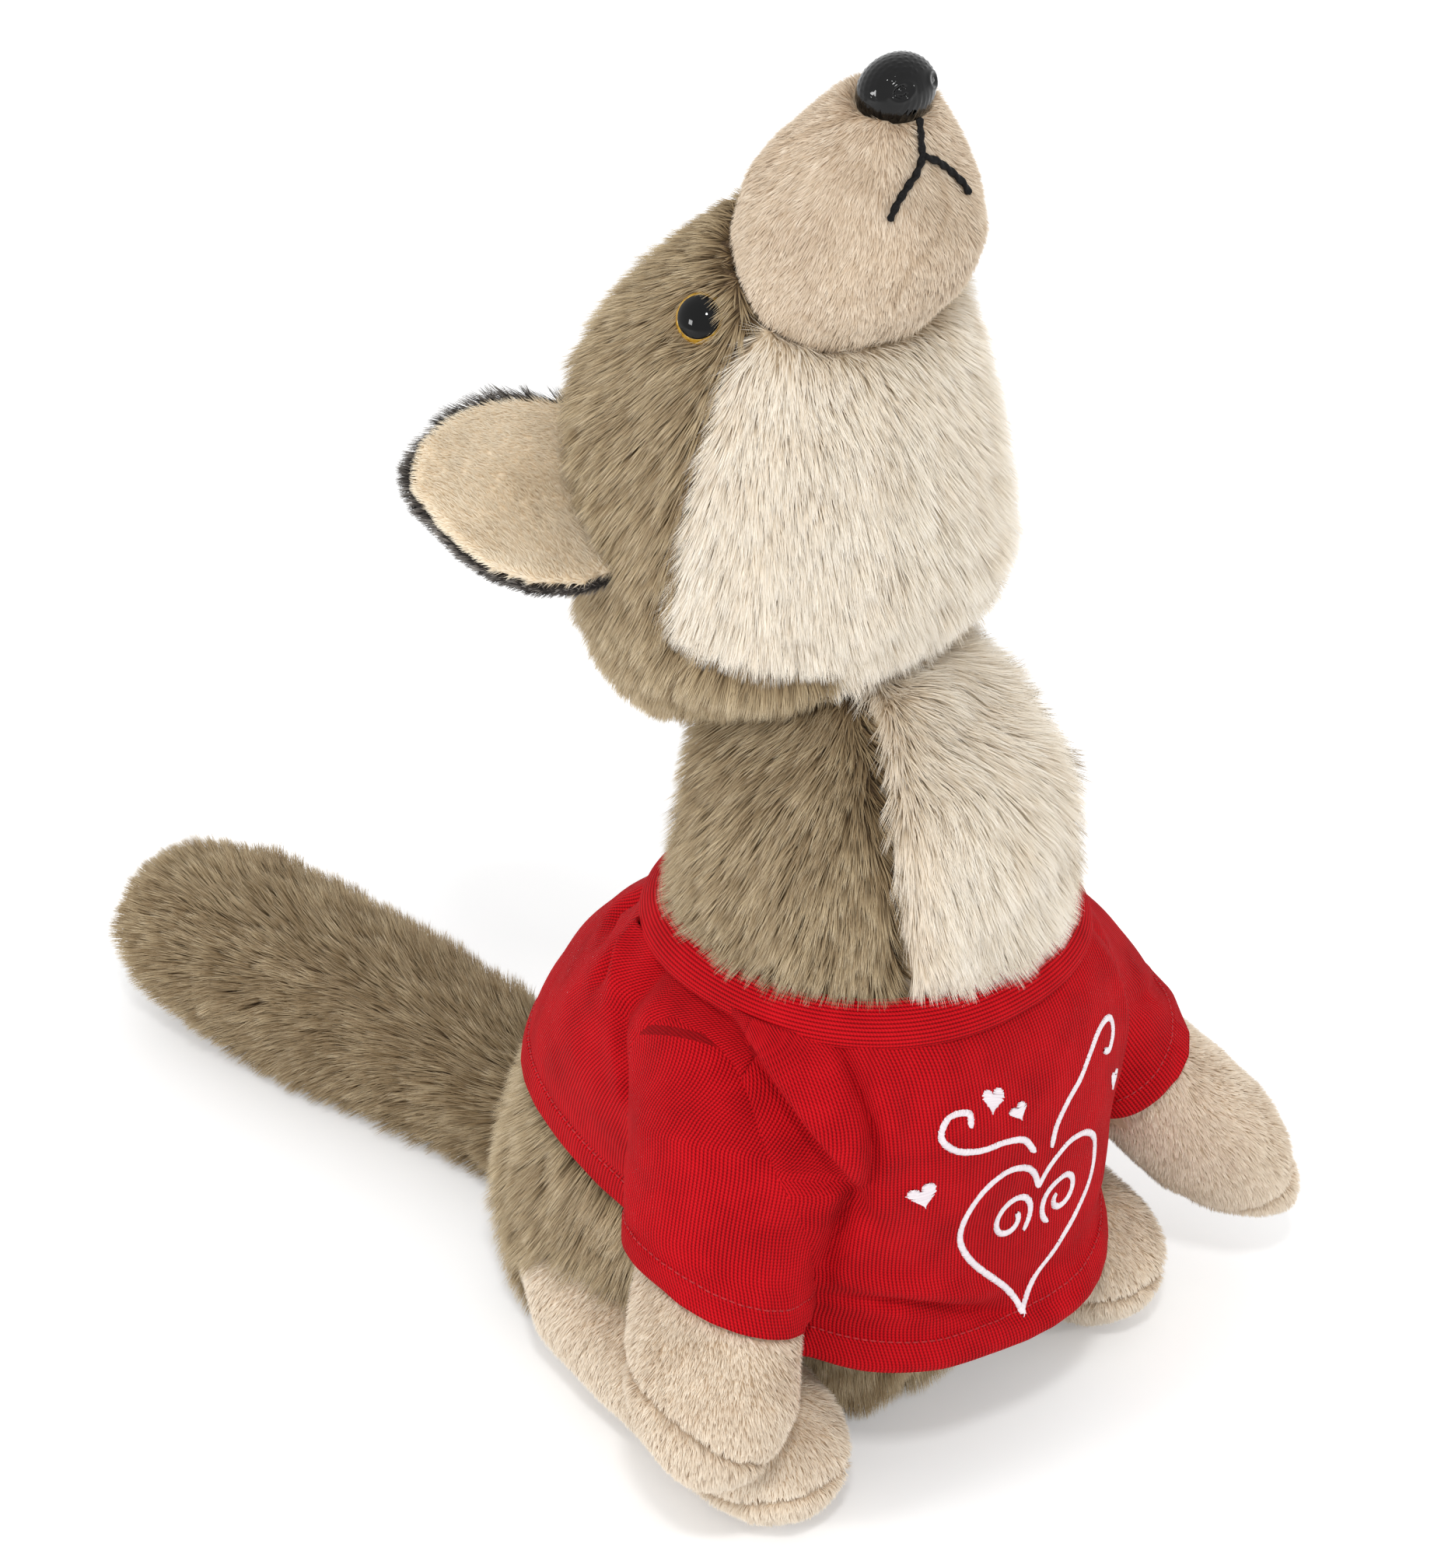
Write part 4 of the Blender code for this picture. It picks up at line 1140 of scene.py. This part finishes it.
# Nose: moulded cap with pores over the top, two nostrils and creases down its front

NOSE = {"at": (0, -28, 365.3), "size": (9.9, 8.0, 9.2), "lean": 33, "pores": 420, "grid": (84, 116)}
GOLDEN_ANGLE = 2.399963


def nose_mesh():
    high, wide = NOSE["grid"]
    tilt = np.linspace(0.002, math.pi - 0.002, high)[:, None]
    turn = np.linspace(0, 2 * math.pi, wide + 1)[None, :-1]
    way = (np.sin(tilt) * np.sin(turn), -np.sin(tilt) * np.cos(turn), np.cos(tilt) + 0 * turn)
    flat = np.stack(way, axis=-1).reshape(-1, 3)
    k = np.arange(NOSE["pores"]) + 0.5
    z = 1 - 2 * k / NOSE["pores"]
    a = k * GOLDEN_ANGLE
    pores = np.stack([np.sqrt(1 - z * z) * np.cos(a), np.sqrt(1 - z * z) * np.sin(a), z], axis=1)
    pores = pores[(pores[:, 1] > -0.25) & (pores[:, 2] > -0.1)]
    finder = KDTree(len(pores))
    for i, p in enumerate(pores):
        finder.insert(p, i)
    finder.balance()
    push = 0.16 * bell(np.array([finder.find(p)[2] for p in flat]), 0.038)
    for side in (-1, 1):
        centre = unit(np.array((side * 0.52, -0.5, 0.69)))
        along = unit(np.array((side * 0.75, 0.3, -0.55)))
        along = along - centre * (along @ centre)
        x = flat @ along
        y = flat @ np.cross(centre, along)
        ring = np.hypot(x, y * 1.25)
        cut = bell(ring - 0.17, 0.055) * (x > -0.12)
        rim = bell(ring - 0.29, 0.06)
        push += (flat @ centre > 0.3) * (0.28 * rim - 0.75 * cut - 0.25 * bell(ring, 0.1))
    x, y, z = flat.T
    front = np.exp(-((x / 0.55) ** 4)) * bell(y + 0.8, 0.45)
    front *= bell(z - 0.15, 0.42)
    bend = x * (1 + 0.5 * z) + 0.03 * np.sin(z * 9)
    push += 0.17 * front * np.sin(bend * 34)
    push -= 0.5 * bell(x, 0.035) * (y < -0.3) * np.clip(1 - z * 1.4, 0, 1) * (z > -0.6)
    lean = math.radians(NOSE["lean"])
    x, y, z = (flat * (np.array(NOSE["size"]) + push[:, None])).T
    y, z = y * math.cos(lean) - z * math.sin(lean), y * math.sin(lean) + z * math.cos(lean)
    faces = [(face[0],) + face[:0:-1] for face in tube_faces(high, wide)]
    return mesh_of("nose", np.stack([x, y, z], axis=1) + np.array(NOSE["at"]), faces)


def glossy_material(name, stops, scale, rough, shine):
    """Hard moulded plastic with a faint orange peel under its gloss."""
    return grainy_material(name, stops, scale, rough, shine, detail=3, relief=(0.12, 0.0002))


nose_black = glossy_material("nose_black_gloss", ((0.3, (2, 2, 2)), (0.8, (6, 6, 7))), 500, 0.05, 0.3)
dress(show("nose_cap", nose_mesh()), nose_black, "nose")

# Eyes: one glossy dome, black in the middle and amber around it

EYE = {
    "radius": 6.2,
    "pupil": 5.1,
    "high": 4.3,
    "foot": -2.5,
    "out": (0.76, -0.34, 0.55),
    "sunk": 0.00065,
    "sides": 72,
}
EYE_BLACK = glossy_material("eye_black_gloss", ((0.3, (1, 1, 1)), (0.8, (4, 4, 4))), 400, 0.04, 0.24)
EYE_AMBER = glossy_material(
    "eye_amber_gloss", ((0.25, (112, 76, 14)), (0.5, (178, 134, 34)), (0.8, (224, 186, 74))), 900, 0.15, 1.0
)


def dome(name, spot, aim, profile, material, node):
    """Rings of a profile, given as radius and height, around the way that the eye looks."""
    verts = []
    for r, h in profile:
        for i in range(EYE["sides"]):
            a = 2 * math.pi * i / EYE["sides"]
            verts.append(spot + aim @ Vector((r * math.cos(a), r * math.sin(a), h)) * MM)
    mesh = mesh_of(name, verts, tube_faces(len(profile), EYE["sides"]), 1.0)
    dress(show(name, mesh), material, node)


def eye_height(r):
    return EYE["high"] * math.sqrt(max(0.0, 1 - (r / EYE["radius"]) ** 2)) ** 1.1


foot = EYE["foot"]
step = EYE["pupil"] + 0.05
pupil = [(EYE["pupil"], foot)] + [(r, eye_height(r)) for r in np.linspace(EYE["pupil"], 0.1, 24)]
rim = [(r, eye_height(r) - 0.05) for r in np.linspace(EYE["radius"], step, 12)]
rim = [(EYE["radius"], foot)] + rim + [(step, foot)]
for word, side in SIDES.items():
    out = Vector((side * EYE["out"][0], EYE["out"][1], EYE["out"][2])).normalized()
    aim = out.to_track_quat("Z", "Y")
    ring = [v.co for v in nodes["iris_" + word].data.vertices]
    middle = sum((c.copy() for c in ring), Vector()) / len(ring)
    spot = middle + out * (max((c - middle).dot(out) for c in ring) - EYE["sunk"])
    dome("eye_%s_dome" % word, spot, aim, pupil, EYE_BLACK, "eye_" + word)
    dome("iris_%s_ring" % word, spot, aim, rim, EYE_AMBER, "iris_" + word)

# Floor, light and camera


def area_light(name, place, size, power):
    lamp = bpy.data.lights.new(name, "AREA")
    lamp.shape = "SQUARE"
    lamp.size = size
    lamp.energy = power
    made = show(name, lamp)
    made.location = place
    made.rotation_euler = (Vector(LIT_SPOT) - Vector(place)).to_track_quat("-Z", "Y").to_euler()


def seen_directly(tree):
    """1 for rays from the camera, straight, mirrored or through glass."""
    path = tree.nodes.new("ShaderNodeLightPath")
    found = path.outputs["Is Camera Ray"]
    for word in ("Is Glossy Ray", "Is Transmission Ray"):
        found = sums(tree, "MAXIMUM", found, path.outputs[word])
    return found


def lit_or_seen(tree, lit, seen, end):
    """The first surface for light on its way, the second for what is seen directly."""
    choice = tree.nodes.new("ShaderNodeMixShader")
    tree.links.new(seen_directly(tree), choice.inputs[0])
    tree.links.new(lit.outputs[0], choice.inputs[1])
    tree.links.new(seen.outputs[0], choice.inputs[2])
    tree.links.new(choice.outputs[0], tree.nodes[end].inputs["Surface"])


LIT_SPOT = (0, 0, 0.15)
WHITE = (1, 1, 1, 1)
bpy.ops.mesh.primitive_plane_add(size=12)
floor = bpy.context.object
floor.name = "floor"
floor_material, tree, shader = new_material("floor_white")
shader.inputs["Base Color"].default_value = (0.92, 0.92, 0.92, 1)
shader.inputs["Roughness"].default_value = 0.9
plain = tree.nodes.new("ShaderNodeBsdfDiffuse")
plain.inputs["Color"].default_value = WHITE
glow = tree.nodes.new("ShaderNodeEmission")
glow.inputs["Strength"].default_value = 0.2
both = tree.nodes.new("ShaderNodeAddShader")
tree.links.new(plain.outputs[0], both.inputs[0])
tree.links.new(glow.outputs[0], both.inputs[1])
lit_or_seen(tree, shader, both, "Material Output")
floor.data.materials.append(floor_material)

world = bpy.data.worlds.new("studio")
bpy.context.scene.world = world
world.use_nodes = True
tree = world.node_tree
sky = tree.nodes["Background"]
sky.inputs["Color"].default_value = WHITE
sky.inputs["Strength"].default_value = 0.8
white = tree.nodes.new("ShaderNodeBackground")
white.inputs["Color"].default_value = WHITE
lit_or_seen(tree, sky, white, "World Output")
area_light("key", (-0.75, -0.75, 1.5), 0.16, 7)
area_light("fill", (0.5, -1.3, 0.75), 0.14, 3.5)
area_light("side", (-1.3, 0.25, 0.55), 0.3, 5.5)
bpy.context.scene.view_settings.view_transform = "Standard"

lens = bpy.data.cameras.new("camera")
lens.lens = CAMERA["lens"]
lens.sensor_width = 36
camera = show("camera", lens)
turn = math.radians(CAMERA["azimuth"])
tilt = math.radians(CAMERA["elevation"])
back = Vector((math.sin(turn) * math.cos(tilt), -math.cos(turn) * math.cos(tilt), math.sin(tilt)))
right = Vector((math.cos(turn), math.sin(turn), 0))
camera.matrix_world = Matrix((right, back.cross(right), back)).transposed().to_4x4()
camera.location = Vector(CAMERA["target"]) + back * CAMERA["distance"]
bpy.context.scene.camera = camera
